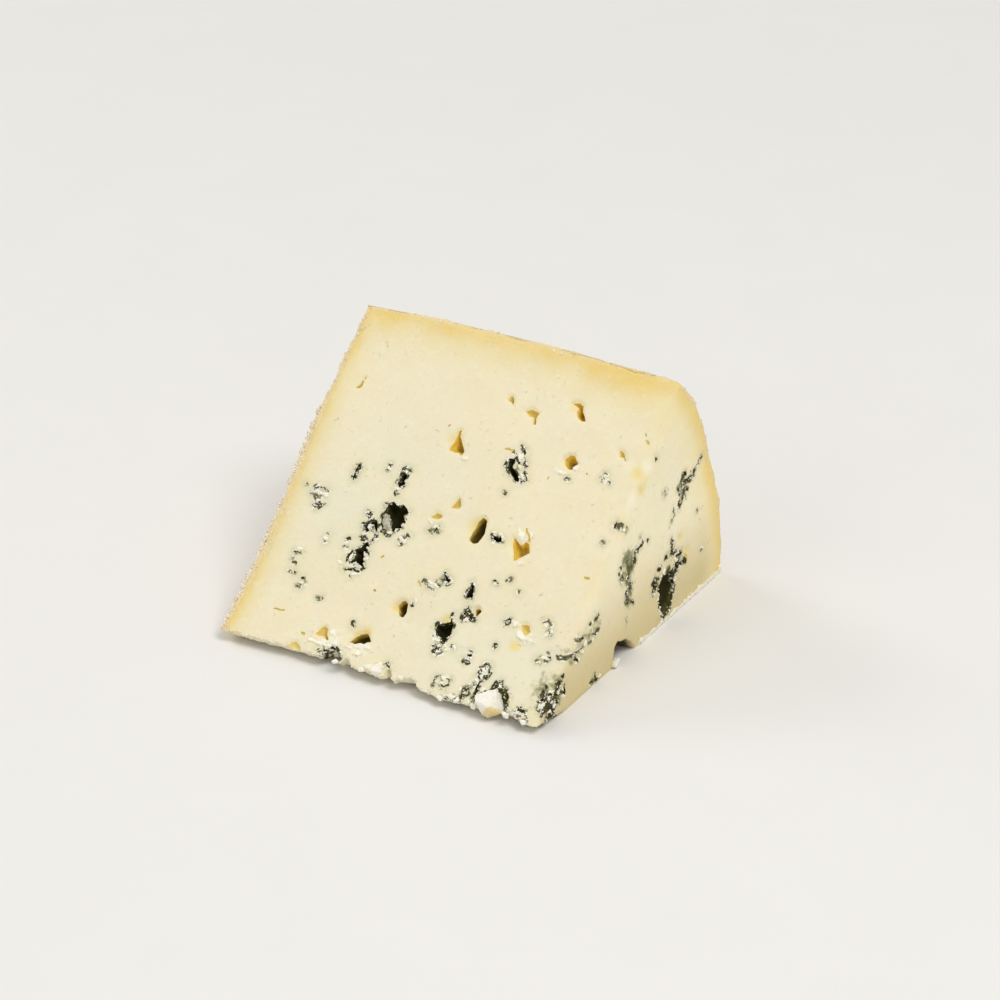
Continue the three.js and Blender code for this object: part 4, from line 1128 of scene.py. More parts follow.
class MESH_OT_cheese_paste(bpy.types.Operator):
    """Models the paste with its eyes, mould pockets, broken tip and crumbly relief"""

    bl_idname = "mesh.cheese_paste"
    bl_label = "Paste"

    def execute(self, context):
        sizes = context.scene.cheese_sizes
        slope = slope_frame(sizes)
        cut = cut_frame(sizes)
        paste = bare_paste(sizes)
        surface = Surface(paste)
        eyes = eye_cutter(surface, slope, sizes.hollow_voxel)
        slits = slit_cutter(surface, slope, cut, sizes.hollow_voxel)
        mould = mould_cutter(surface, slope, cut, sizes.hollow_voxel)
        foot = foot_cutter(surface, cut)
        tip = tip_cutter(slope)
        cutters = {"eye": eyes, "slit": slits, "mould": mould, "foot": foot, "tip": tip}
        trees = {name: tree_of(cutter) for name, cutter in cutters.items()}
        for face, rows in ((slope, SLOPE_DENTS), (cut, CUT_DENTS)):
            push_out(paste, face, -spots_at(points_of(paste), face, rows, DENT_REACH))
        cut_away(paste, foot)
        cut_away(paste, tip)
        remesh(paste, sizes.fine_voxel)
        self.crumble(paste, trees, slope, cut)
        thin_out(paste, sizes.skin_triangles, "plain")
        skin = tree_of(paste)
        self.line(paste, (eyes, slits), mould, context.scene.cheese_colours)
        for cutter in cutters.values():
            bpy.data.objects.remove(cutter)
        thin_out(paste, sizes.piece_triangles)
        rest_on_floor(paste)
        self.measure(paste, trees, skin, slope, cut)
        make_active(paste)
        bpy.ops.object.shade_smooth_by_angle(angle=SMOOTH_ANGLE)
        carry(paste)
        return {"FINISHED"}

    @staticmethod
    def crumble(paste, trees, slope, cut):
        """Raises ragged flakes round the mould, along the tip and at the foot of the cross cut."""
        points = points_of(paste)
        mould = gaps_to(trees["mould"], points, 4 * MM)
        eyes = gaps_to(trees["eye"], points, 3 * MM)
        tips = smooth_step(gaps_to(trees["tip"], points, 4 * MM), 3 * MM, 0)
        feet = smooth_step(points[:, 2], 3 * MM, MM) * smooth_step(points[:, 2], 0.1 * MM, MM)
        cast = np.maximum(marbling(points, slope), 0.5 * spots_at(points, cut, CUT_CAST))
        slope_pale, slope_rise = flake_at(points, slope, SLOPE_FLAKES)
        cut_pale, cut_rise = flake_at(points, cut, CUT_FLAKES)
        lip = lip_at(points, cut)
        pale = np.maximum(np.maximum(slope_pale, cut_pale), lip)
        rims = np.maximum(smooth_step(mould, 1.5 * MM, 0.1 * MM), 0.5 * smooth_step(eyes, MM, 0.1 * MM))
        rims = np.maximum(np.maximum(rims, 0.8 * pale), smooth_step(cast, 0.1, 0.7))
        set_weights(paste, "flaky", np.maximum(np.maximum(rims, tips), 0.5 * feet))
        plain = smooth_step(np.minimum(mould, eyes + MM), 0.6 * MM, 3 * MM) * smooth_step(cast, 0.4, 0.05)
        set_weights(paste, "plain", 0.1 + 0.9 * plain * smooth_step(pale, 0.5, 0.05))
        push_out(paste, slope, slope_rise - 0.9 * lit_flank_at(points, slope))
        push_out(paste, cut, np.maximum(cut_rise, 0.45 * lip))
        roughen(paste, 1.1 * MM, 0.28 * MM, "flaky", 3, sharp=True, middle=0.4)
        roughen(paste, 0.6 * MM, 0.12 * MM, "flaky")
        lips = 0.25 * MM * smooth_step(eyes, 0.8 * MM, 0)
        move_points(paste, points_of(paste) - normals_of(paste) * lips[:, None])

    @staticmethod
    def line(paste, eyes, mould, colours):
        """Cuts the hollows out, in triangles so that seams close, and gives each kind its own finish."""
        linings = (paste_material(colours), eye_material(colours), mould_material(colours))
        for piece, index in ((paste, 0), *((eye, 1) for eye in eyes), (mould, 2)):
            piece.data.materials.clear()
            for lining in linings:
                piece.data.materials.append(lining)
            count = len(piece.data.polygons)
            piece.data.polygons.foreach_set("material_index", np.full(count, index, np.int32))
            apply_modifier(piece, "TRIANGULATE")
        for hollow in (*eyes, mould):
            cut_away(paste, hollow)
        apply_modifier(paste, "TRIANGULATE")

    @staticmethod
    def measure(paste, trees, skin, slope, cut):
        """Keeps what the finish reads at each point: how near the mould is, how deep it lies and so on."""
        points = points_of(paste)
        half = bpy.context.scene.cheese_sizes.wedge_length / 2
        corner = local_points(points, slope)
        from_corner = np.hypot(corner[:, 0] - half, corner[:, 2])
        behind_cut = -local_points(points, cut)[:, 2]
        in_foot = smooth_step(gaps_to(trees["foot"], points, 2 * MM), MM, 0.4 * MM)
        flakes = np.maximum(flake_at(points, slope, SLOPE_FLAKES)[0], flake_at(points, cut, CUT_FLAKES)[0])
        under = bowl_at(points, ground_frame(), hidden(SLOPE_EYES))
        values = {
            "mould_gap": gaps_to(trees["mould"], points, 6 * MM) / MM,
            "eye_gap": gaps_to(trees["eye"], points, 4 * MM) / MM,
            "depth": gaps_to(skin, points, 8 * MM) / MM,
            "stain": np.maximum(stain_at(points, slope, SLOPE_DENTS), stain_at(points, cut, CUT_DENTS)),
            "pale": np.maximum(flakes, lip_at(points, cut)),
            "cast": marbling(points, slope),
            "smear": spots_at(points, cut, CUT_CAST),
            "faint": np.maximum(spots_at(points, slope, SLOPE_FAINT), spots_at(points, cut, CUT_FAINT)),
            "cool": spots_at(points, slope, SLOPE_COOL, 6),
            "flank": lit_flank_at(points, slope),
            "bowl": np.maximum(bowl_at(points, slope, SLOPE_EYES), under),
            "milk": spots_at(points, slope, SLOPE_WHITES, 4),
            # Where the cross cut begins: the mask of its painted light and of its painted foot shade
            "front": smooth_step(-corner[:, 2] - behind_cut, -MM, 4 * MM),
            "corner": smooth_step(from_corner, 7 * MM, 1.5 * MM),
            # The hollow at the foot of the cross cut, which the finish darkens as painted shade
            "foot": in_foot * smooth_step(behind_cut, 0.6 * MM, 3 * MM),
        }
        for name, found in values.items():
            set_values(paste, name, found)


class MESH_OT_cheese_rind(bpy.types.Operator):
    """Models the thin crust over the drum's side and its round end"""

    bl_idname = "mesh.cheese_rind"
    bl_label = "Rind"

    def execute(self, context):
        sizes = context.scene.cheese_sizes
        half = sizes.wedge_length / 2
        thick = sizes.rind_thickness
        left, right = DRUM_AXIS.x - half, DRUM_AXIS.x + half
        rind = sector("rind", sizes.drum_radius, left, right, 0, sizes.wedge_angle)
        lift_tip(rind, sizes)
        core = sector("core", sizes.drum_radius - thick, left + thick, right + 5 * MM, -math.radians(60),
                      math.radians(180))
        cut_away(rind, core)
        tip = tip_cutter(slope_frame(sizes))
        cut_away(rind, tip)
        for cutter in (core, tip):
            bpy.data.objects.remove(cutter)
        remesh(rind, RIND_VOXEL)
        self.sink_edges(rind, sizes)
        swell(rind, sizes)
        inside = self.inside(rind, right)
        set_weights(rind, "shared", np.where(inside, 0, 1))
        slow_waves(rind, sizes, "shared")
        set_weights(rind, "outside", np.where(self.outside(rind), 1, np.where(inside, 0, 0.3)))
        roughen(rind, 7 * MM, 0.3 * sizes.rind_crag, "outside")
        roughen(rind, 2.6 * MM, 0.4 * sizes.rind_crag, "outside", 3)
        roughen(rind, 1.2 * MM, 0.25 * sizes.rind_crag, "outside", 3, sharp=True)
        thin_out(rind, sizes.piece_triangles)
        rest_on_floor(rind)
        set_values(rind, "rise", self.rise(rind, sizes) / MM)
        points = points_of(rind)
        from_slope = -local_points(points, slope_frame(sizes))[:, 2]
        from_cut = right - points[:, 0]
        set_values(rind, "edge", smooth_step(np.minimum(from_slope, from_cut), 5 * MM, 1.6 * MM))
        finish_with(rind, rind_material(context.scene.cheese_colours))
        return {"FINISHED"}

    @staticmethod
    def sink_edges(rind, sizes):
        """Lowers the rind's cut edges below the faces and rounds its corner off like the soft edge."""
        points = points_of(rind)
        slope = slope_frame(sizes)
        out = np.array(out_of(slope))
        below = np.clip(sizes.soft_edge + local_points(points, slope)[:, 2], 0, None)
        behind = np.clip(sizes.soft_edge - DRUM_AXIS.x - sizes.wedge_length / 2 + points[:, 0], 0, None)
        reach = np.maximum(np.hypot(below, behind), 0.01 * MM)
        corner = sizes.soft_edge - 0.3 * MM * smooth_step(np.minimum(below, behind), 0, MM)
        over = np.clip(1 - corner / reach, 0, None)
        points = points - out * (over * below)[:, None]
        points[:, 0] -= over * behind
        from_slope = -local_points(points, slope)[:, 2]
        from_cut = DRUM_AXIS.x + sizes.wedge_length / 2 - points[:, 0]
        moved = points - out * (sizes.rind_sink * smooth_step(from_slope, MM, 0))[:, None]
        moved[:, 0] -= sizes.rind_sink * smooth_step(from_cut, MM, 0)
        moved[:, 2] += sizes.rind_sink * smooth_step(points[:, 2], MM, 0)
        move_points(rind, moved)

    @staticmethod
    def outward(rind):
        """How far each vertex faces away from the drum's axis."""
        spokes, reach = spokes_of(points_of(rind))
        return np.sum(normals_of(rind) * spokes, axis=1) / np.maximum(reach, MM)

    def outside(self, rind):
        """Which vertices face out of the drum, at its side or its round end."""
        return (self.outward(rind) > 0.5) | (normals_of(rind)[:, 0] < -0.5)

    def inside(self, rind, right):
        """Which vertices face the paste that the rind is bedded in."""
        behind = (normals_of(rind)[:, 0] > 0.5) & (points_of(rind)[:, 0] < right - MM)
        return behind | (self.outward(rind) < -0.5)

    def rise(self, rind, sizes):
        """Height of the crags over the drum, and level with it all along the cut edges."""
        points = points_of(rind)
        left = DRUM_AXIS.x - points[:, 0] - sizes.wedge_length / 2
        side = spokes_of(points)[1] - sizes.drum_radius - 0.6 * sizes.rind_bulge
        return np.where(self.outside(rind), np.maximum(side, left), 0)


def chunk(face, along, up, out, radii, turn):
    """One chipped, blunt crumb on a face, its longer radius turned in the face."""
    bpy.ops.mesh.primitive_cube_add(size=2)
    piece = bpy.context.object
    set_mode("EDIT")
    for point, way in CRUMB_CHIPS:
        bpy.ops.mesh.select_all(action="SELECT")
        bpy.ops.mesh.bisect(plane_co=point, plane_no=way, clear_outer=True, use_fill=True)
    bpy.ops.mesh.select_all(action="SELECT")
    bpy.ops.mesh.bevel(offset=0.14, segments=2, affect="EDGES")
    set_mode("OBJECT")
    shape = Matrix.Diagonal((*radii, 1))
    place = Matrix.Translation((along * MM, up * MM, out))
    piece.data.transform(face @ place @ Matrix.Rotation(math.radians(turn), 4, "Z") @ shape)
    return piece


class MESH_OT_cheese_crumbs(bpy.types.Operator):
    """Models the loose white crumbs on the tip, in the hollows and at the foot"""

    bl_idname = "mesh.cheese_crumbs"
    bl_label = "Crumbs"

    def execute(self, context):
        sizes = context.scene.cheese_sizes
        slope = slope_frame(sizes)
        cut = cut_frame(sizes)
        surface = Surface(bpy.data.objects["paste"])
        chunks = []
        greens = []
        clear_selection()
        for face, rows, beside in ((slope, TIP_CRUMBS, 0), (cut, CUT_CRUMBS, -2.6)):
            for along, up, span, width, turn, green in rows:
                radii = (0.5 * span * MM, 0.5 * width * MM, 0.42 * width * MM)
                level = min(surface.out_at(face, along + beside, up + 1.5), 0) + 0.1 * width * MM
                chunks.append(chunk(face, along, up, level, radii, turn))
                greens.append((on_face(face, along, up, level), span * MM, green))
        crumbs = join(*chunks)
        crumbs.name = "crumbs"
        remesh(crumbs, CRUMB_VOXEL)
        roughen(crumbs, 1.4 * MM, 0.35 * MM, octaves=3)
        roughen(crumbs, 0.6 * MM, 0.14 * MM, sharp=True)
        thin_out(crumbs, CRUMB_TRIANGLES)
        rest_on_floor(crumbs)
        points = points_of(crumbs)
        green = np.zeros(len(points))
        for place, reach, strength in greens:
            away = np.linalg.norm(points - np.array(place), axis=1)
            green = np.maximum(green, strength * smooth_step(away, reach, 0.5 * reach))
        set_values(crumbs, "green", green)
        # Painted shade: the lower side of the big tip crumb is marked for a tan tint
        local = local_points(points, slope) / MM
        along, up, span = TIP_CRUMBS[0][:3]
        foot = smooth_step(local[:, 1] - 0.5 * (local[:, 0] - along), up - 0.7, up - 2.8)
        beside = smooth_step(np.abs(local[:, 0] - along), 0.7 * span, 0.5 * span)
        set_values(crumbs, "amber", foot * beside)
        finish_with(crumbs, crumb_material(context.scene.cheese_colours))
        return {"FINISHED"}


class GrainBed:
    """Sets grains on the rind and the paste: a row for each, of place, radius, tan tone and green tone."""

    def __init__(self):
        self.surfaces = [Surface(bpy.data.objects[name]) for name in ("rind", "paste")]
        self.rows = []

    def drop(self, face, along, up, radius, tan=0.0, green=0.0, beside=0.0):
        """Sets one grain on the face, or level with the place that lies beside it."""
        found = [surface.level(face, along + beside, up) for surface in self.surfaces]
        levels = [level for level in found if level is not None and level > -2 * MM]
        if levels:
            place = on_face(face, along, up, max(levels) - 0.1 * radius * MM)
            self.rows.append((*place, radius * MM, tan, green))


def left_grains(bed, sizes, rng):
    """Grains along the left edge of the slope, in lumps beside it and at the top of the round end."""
    slope = slope_frame(sizes)
    half = sizes.wedge_length / 2 / MM
    top = sizes.drum_radius / MM - GRAIN_INSET

    def edge_tan(up):
        """Tan grains high up the left edge, white ones lower down."""
        return rng.uniform(0.25, 0.7) if up > rng.uniform(46, 70) else rng.uniform(0.15, 0.45)

    count, radii = GRAINS["left"]
    for _ in range(count):
        up = rng.uniform(1, top + 1)
        bed.drop(slope, -half + 0.2 + abs(rng.normal(0, 0.4)), up, rng.uniform(*radii), edge_tan(up))
    count, radii = GRAINS["lumps"]
    for _ in range(count):
        up = rng.uniform(2, 66)
        for _ in range(6):
            reach = rng.uniform(0, 0.8)
            radius = rng.uniform(*radii) * (1.1 - 0.5 * reach)
            bed.drop(slope, -half + 0.1 - reach, up + rng.normal(0, 0.5), radius, edge_tan(up),
                     beside=0.5 + reach)
    end = face_frame(DRUM_AXIS - Vector((half * MM, 0, 0)), Vector((0, -1, 0)), Vector((0, 0, 1)))
    count, radii = GRAINS["end"]
    for _ in range(count):
        reach = rng.uniform(4, top)
        up = reach * math.sin(sizes.wedge_angle) - rng.exponential(0.6)
        bed.drop(end, -reach * math.cos(sizes.wedge_angle), up, rng.uniform(*radii), edge_tan(reach))


def outer_grains(bed, sizes, rng):
    """Grains along the top of the slope, the outer edge of the cross cut and its foot."""
    slope = slope_frame(sizes)
    cut = cut_frame(sizes)
    half = sizes.wedge_length / 2 / MM
    top = sizes.drum_radius / MM - GRAIN_INSET
    count, radii = GRAINS["top"]
    for _ in range(count):
        along = rng.uniform(-half, half - 3)
        swelling = sizes.rind_bulge / MM * (1 - (along / half) ** 2)
        up = top + 0.9 + swelling - rng.exponential(0.5)
        bed.drop(slope, along, up, rng.uniform(*radii), rng.uniform(0.1, 0.5))
    count, radii = GRAINS["skin"]
    for _ in range(count):
        bed.drop(slope, rng.uniform(-half, half - 3), top - rng.exponential(1.4), rng.uniform(*radii), 0.2)
    count, radii = GRAINS["cut"]
    for _ in range(count):
        aim = rng.uniform(0, sizes.wedge_angle)
        reach = top + 1 - rng.exponential(0.4)
        bed.drop(cut, reach * math.cos(aim), reach * math.sin(aim), rng.uniform(*radii),
                 rng.uniform(0.15, 0.5))
    count, radii = GRAINS["foot"]
    for _ in range(count):
        middle = rng.uniform(52, 98.5)
        for _ in range(rng.integers(2, 8)):
            along = middle + rng.normal(0, 0.8)
            bed.drop(cut, along, 0.2 + rng.exponential(0.4), rng.uniform(*radii), 0.15)


def rim_grains(bed, sizes, rng):
    """Grains along the broken tip, beside the veins and round the mould pockets."""
    slope = slope_frame(sizes)
    cut = cut_frame(sizes)
    half = sizes.wedge_length / 2 / MM
    edge = np.array(TIP_EDGE)
    count, radii = GRAINS["tip"]
    for _ in range(count):
        along = rng.uniform(-half, half)
        up = np.interp(along, edge[:, 0], edge[:, 1]) + rng.exponential(0.5)
        bed.drop(slope, along, up, rng.uniform(*radii), rng.uniform(0, 0.3))
    for face, strokes, share in ((slope, SLOPE_VEINS, 0.6), (cut, CUT_VEINS, 0.25)):
        for width, *stroke in strokes:
            for along, up in dense(stroke, 0.45):
                radius = rng.uniform(*VEIN_GRAIN)
                aim = rng.uniform(0, math.tau)
                away = 0.5 * width + 0.7 * radius
                if rng.random() < share:
                    bed.drop(face, along + away * math.cos(aim), up + away * math.sin(aim), radius,
                             green=rng.uniform(0, 0.3))
    for face, pockets in ((slope, SLOPE_POCKETS), (cut, CUT_POCKETS)):
        for _, *corners in pockets:
            middle = np.mean(corners, axis=0)
            for corner in dense([*corners, corners[0]]):
                along, up = middle + (np.array(corner) - middle) * rng.uniform(1.02, 1.25)
                share = 0.6 if up < middle[1] else 0.2
                radius = rng.uniform(*POCKET_GRAIN)
                if rng.random() < share:
                    bed.drop(face, along, up, radius, green=rng.uniform(0, 0.25))


class MESH_OT_cheese_grains(bpy.types.Operator):
    """Scatters small grains along the edges of the rind, the tip, the foot and the mould"""

    bl_idname = "mesh.cheese_grains"
    bl_label = "Grains"

    def execute(self, context):
        rng = np.random.default_rng(GRAIN_SEED)
        clear_selection()
        bpy.ops.mesh.primitive_ico_sphere_add(subdivisions=1, radius=1)
        grains = bpy.context.object
        grains.name = "grains"
        shape = points_of(grains)
        faces = np.array([tuple(p.vertices) for p in grains.data.polygons])
        bed = GrainBed()
        for scatter in (left_grains, outer_grains, rim_grains):
            scatter(bed, context.scene.cheese_sizes, rng)
        rows = np.array(bed.rows)
        count = len(rows)
        dented = shape[None] * rng.uniform(0.5, 1.4, (count, len(shape), 1))
        uneven = dented * rng.uniform(0.6, 1.2, (count, 1, 3))
        points = rows[:, None, :3] + uneven * rows[:, None, 3:4]
        index = faces[None] + len(shape) * np.arange(count)[:, None, None]
        grains.data.clear_geometry()
        grains.data.from_pydata(points.reshape(-1, 3).tolist(), [], index.reshape(-1, 3).tolist())
        grains.data.update()
        rest_on_floor(grains)
        set_values(grains, "tan", np.repeat(rows[:, 4], len(shape)))
        set_values(grains, "green", np.repeat(rows[:, 5], len(shape)))
        finish_with(grains, crumb_material(context.scene.cheese_colours))
        return {"FINISHED"}


class SceneNodes:
    """A short way to place and link the nodes of one tree."""

    def __init__(self, tree):
        self.tree = tree

    def add(self, kind, **settings):
        made = self.tree.nodes.new(kind)
        for name, value in settings.items():
            setattr(made, name, value)
        return made

    def link(self, source, socket):
        """Links an output, or sets a plain value, on an input socket."""
        if isinstance(source, bpy.types.NodeSocket):
            self.tree.links.new(source, socket)
        else:
            socket.default_value = source

    def value(self, name):
        return self.add("ShaderNodeAttribute", attribute_name=name).outputs["Fac"]

    def object_place(self):
        return self.add("ShaderNodeTexCoord").outputs["Object"]

    def noise(self, place, feature, detail=3.0, roughness=0.55):
        made = self.add("ShaderNodeTexNoise")
        self.link(place, made.inputs["Vector"])
        made.inputs["Scale"].default_value = 1 / feature
        made.inputs["Detail"].default_value = detail
        made.inputs["Roughness"].default_value = roughness
        return made.outputs["Fac"]

    def grain(self, place):
        """The shared masks of the cheese's finishes."""
        made = self.add("ShaderNodeGroup", node_tree=grain_group())
        self.link(place, made.inputs["Vector"])
        return made.outputs

    def shards(self, place, feature, bend):
        """Uneven cells of that size: how far from a cell's edge it is, and a value for each cell."""
        drift = self.add("ShaderNodeTexNoise")
        self.link(place, drift.inputs["Vector"])
        drift.inputs["Scale"].default_value = 1 / feature
        bent = self.add("ShaderNodeVectorMath", operation="MULTIPLY_ADD")
        for socket, source in zip(bent.inputs, (drift.outputs["Color"], (bend, bend, bend), place)):
            self.link(source, socket)
        found = []
        for kind, socket in (("DISTANCE_TO_EDGE", "Distance"), ("F1", "Color")):
            cells = self.add("ShaderNodeTexVoronoi", feature=kind)
            self.link(bent.outputs[0], cells.inputs["Vector"])
            cells.inputs["Scale"].default_value = 1 / feature
            found.append(cells.outputs[socket])
        parts = self.add("ShaderNodeSeparateColor")
        self.link(found[1], parts.inputs[0])
        return found[0], parts.outputs[0]

    def ease(self, source, start, end, low=0.0, high=1.0):
        made = self.add("ShaderNodeMapRange", interpolation_type="SMOOTHSTEP")
        self.link(source, made.inputs["Value"])
        for name, number in (("From Min", start), ("From Max", end), ("To Min", low), ("To Max", high)):
            made.inputs[name].default_value = number
        return made.outputs["Result"]

    def math(self, operation, first, second=0.0, third=0.0):
        made = self.add("ShaderNodeMath", operation=operation)
        for socket, source in zip(made.inputs, (first, second, third)):
            self.link(source, socket)
        return made.outputs[0]

    def times(self, first, second):
        return self.math("MULTIPLY", first, second)

    def scaled(self, source, factor, plus):
        """The source times the factor, and that much more."""
        return self.math("MULTIPLY_ADD", source, factor, plus)

    def most(self, first, second):
        return self.math("MAXIMUM", first, second)

    def waver(self, source, mask, spread):
        """The source made uneven by the mask, by half the spread either way."""
        return self.math("ADD", source, self.scaled(mask, spread, -0.5 * spread))

    def mix(self, factor, first, second, blend="MIX"):
        """Mixes two colours."""
        made = self.add("ShaderNodeMix", data_type="RGBA", blend_type=blend)
        sockets = {s.identifier: s for s in made.inputs}
        self.link(factor, sockets["Factor_Float"])
        for name, colour in (("A_Color", first), ("B_Color", second)):
            self.link(colour if isinstance(colour, bpy.types.NodeSocket) else (*colour, 1), sockets[name])
        return next(s for s in made.outputs if s.identifier == "Result_Color")


def new_material(name):
    material = bpy.data.materials.new(name)
    material.use_nodes = True
    nodes = SceneNodes(material.node_tree)
    shader = next(n for n in material.node_tree.nodes if n.type == "BSDF_PRINCIPLED")
    return material, nodes, shader


def add_bump(nodes, shader, height, strength):
    bump = nodes.add("ShaderNodeBump")
    bump.inputs["Strength"].default_value = strength
    bump.inputs["Distance"].default_value = BUMP_HEIGHT
    nodes.link(height, bump.inputs["Height"])
    nodes.link(bump.outputs["Normal"], shader.inputs["Normal"])


def set_fat(shader, weight, reach=1.2 * MM, tint=(1.0, 0.6, 0.3)):
    """Lets a little light into the fat of the paste."""
    shader.inputs["Subsurface Weight"].default_value = weight
    shader.inputs["Subsurface Radius"].default_value = tint
    shader.inputs["Subsurface Scale"].default_value = reach
    shader.inputs["IOR"].default_value = 1.45
    shader.inputs["Specular IOR Level"].default_value = 0.18


def rind_distance(nodes, place):
    """Distance from the drum's side or its round end, whichever is nearer, in millimetres."""
    sizes = bpy.context.scene.cheese_sizes
    away = nodes.add("ShaderNodeVectorMath", operation="SUBTRACT")
    nodes.link(place, away.inputs[0])
    away.inputs[1].default_value = DRUM_AXIS
    parts = nodes.add("ShaderNodeSeparateXYZ")
    nodes.link(away.outputs[0], parts.inputs[0])
    square = nodes.times(parts.outputs["Y"], parts.outputs["Y"])
    square = nodes.scaled(parts.outputs["Z"], parts.outputs["Z"], square)
    side = nodes.math("SUBTRACT", sizes.drum_radius, nodes.math("SQRT", square))
    side = nodes.times(side, nodes.ease(parts.outputs["X"], 10 * MM, 46 * MM, 1.0, 0.72))
    end = nodes.scaled(parts.outputs["X"], 1.4, 1.4 * sizes.wedge_length / 2)
    return nodes.math("DIVIDE", nodes.math("SMOOTH_MIN", side, end, 4 * MM), MM)


def grain_group():
    """Node group with the uneven masks that every finish of the cheese shares."""
    name = "cheese_grain"
    if name in bpy.data.node_groups:
        return bpy.data.node_groups[name]
    group = bpy.data.node_groups.new(name, "ShaderNodeTree")
    group.interface.new_socket("Vector", in_out="INPUT", socket_type="NodeSocketVector")
    nodes = SceneNodes(group)
    place = nodes.add("NodeGroupInput").outputs["Vector"]
    out = nodes.add("NodeGroupOutput")
    sizes = {"Broad": (14 * MM, 2, 0.55), "Patch": (3.2 * MM, 3, 0.55), "Crumb": (1.3 * MM, 3, 0.6),
             "Fine": (0.6 * MM, 3, 0.65)}
    masks = {mask: nodes.noise(place, *size) for mask, size in sizes.items()}
    masks["Edge"], masks["Tone"] = nodes.shards(place, 1.25 * MM, 1.4 * MM)
    for mask, source in masks.items():
        group.interface.new_socket(mask, in_out="OUTPUT", socket_type="NodeSocketFloat")
        nodes.link(source, out.inputs[mask])
    return group


def ivory(nodes, grain, place, colours):
    """Colour of the plain paste, yellow near the rind and the eyes; painted light brightens the cross cut
    and the eyes' upper-left flanks, painted shade its foot and the soft edge.
    """
    rind = rind_distance(nodes, place)
    wavy = nodes.waver(rind, grain["Broad"], 6.0)
    parts = nodes.add("ShaderNodeSeparateXYZ")
    nodes.link(place, parts.inputs[0])
    on_cut = nodes.value("front")
    colour = nodes.mix(nodes.ease(wavy, 13.0, 2.0), colours.paste, colours.band)
    colour = nodes.mix(nodes.ease(wavy, 6.0, 0.0, 0.0, 0.85), colour, colours.under_rind)
    colour = nodes.mix(nodes.ease(grain["Broad"], 0.4, 0.7, 0.0, 0.2), colour, colours.band)
    colour = nodes.mix(nodes.ease(grain["Patch"], 0.45, 0.75, 0.0, 0.1), colour, colours.flake)
    colour = nodes.mix(nodes.ease(grain["Crumb"], 0.52, 0.72, 0.0, 0.22), colour, colours.band)
    colour = nodes.mix(nodes.ease(grain["Crumb"], 0.46, 0.26, 0.0, 0.22), colour, colours.flake)
    colour = nodes.mix(nodes.times(nodes.value("cool"), 0.4), colour, colours.cool)
    # The soft edge's corner turns towards the band: partly the paste's own yellow, partly painted shade
    # dimming its highlight
    corner = nodes.times(nodes.value("corner"), nodes.ease(grain["Broad"], 0.35, 0.65, 0.05, 0.3))
    colour = nodes.mix(corner, colour, colours.band)
    # Painted light: the cross cut is made 12 percent lighter, standing in for light it lacks
    colour = nodes.mix(on_cut, colour, (1.12, 1.12, 1.12), "MULTIPLY")
    # Painted shade: the cross cut darkens towards its foot, near the ground
    low = nodes.times(on_cut, nodes.ease(parts.outputs["Z"], 30 * MM, 2 * MM, 0.0, 0.9))
    low = nodes.times(low, nodes.ease(wavy, 2.0, 9.0, 0.25, 1.0))
    colour = nodes.mix(low, colour, colours.cut_foot_shade)
    outer = nodes.times(on_cut, nodes.ease(rind, 6.0, 0.5, 0.0, 0.45))
    colour = nodes.mix(outer, colour, colours.under_rind)
    # Painted light: the eyes' upper-left flanks turn butter yellow, as their lit walls
    flank = nodes.ease(nodes.value("flank"), 0.15, 0.9, 0.0, 0.65)
    yellow = nodes.most(flank, nodes.ease(nodes.value("stain"), 0.1, 1.0, 0.0, 0.85))
    yellow = nodes.most(yellow, nodes.ease(nodes.value("eye_gap"), 0.7, 0.0, 0.0, 0.4))
    colour = nodes.mix(yellow, colour, colours.butter)
    colour = nodes.mix(nodes.ease(nodes.value("milk"), 0.1, 0.8, 0.0, 0.6), colour, colours.flake)
    ragged = nodes.waver(rind, grain["Crumb"], 1.6)
    rim = nodes.ease(ragged, 0.7, 0.25, 0.0, 0.5)
    colour = nodes.mix(rim, colour, colours.rim)
    return nodes.mix(nodes.times(rim, nodes.ease(grain["Fine"], 0.55, 0.65)), colour, colours.crust)


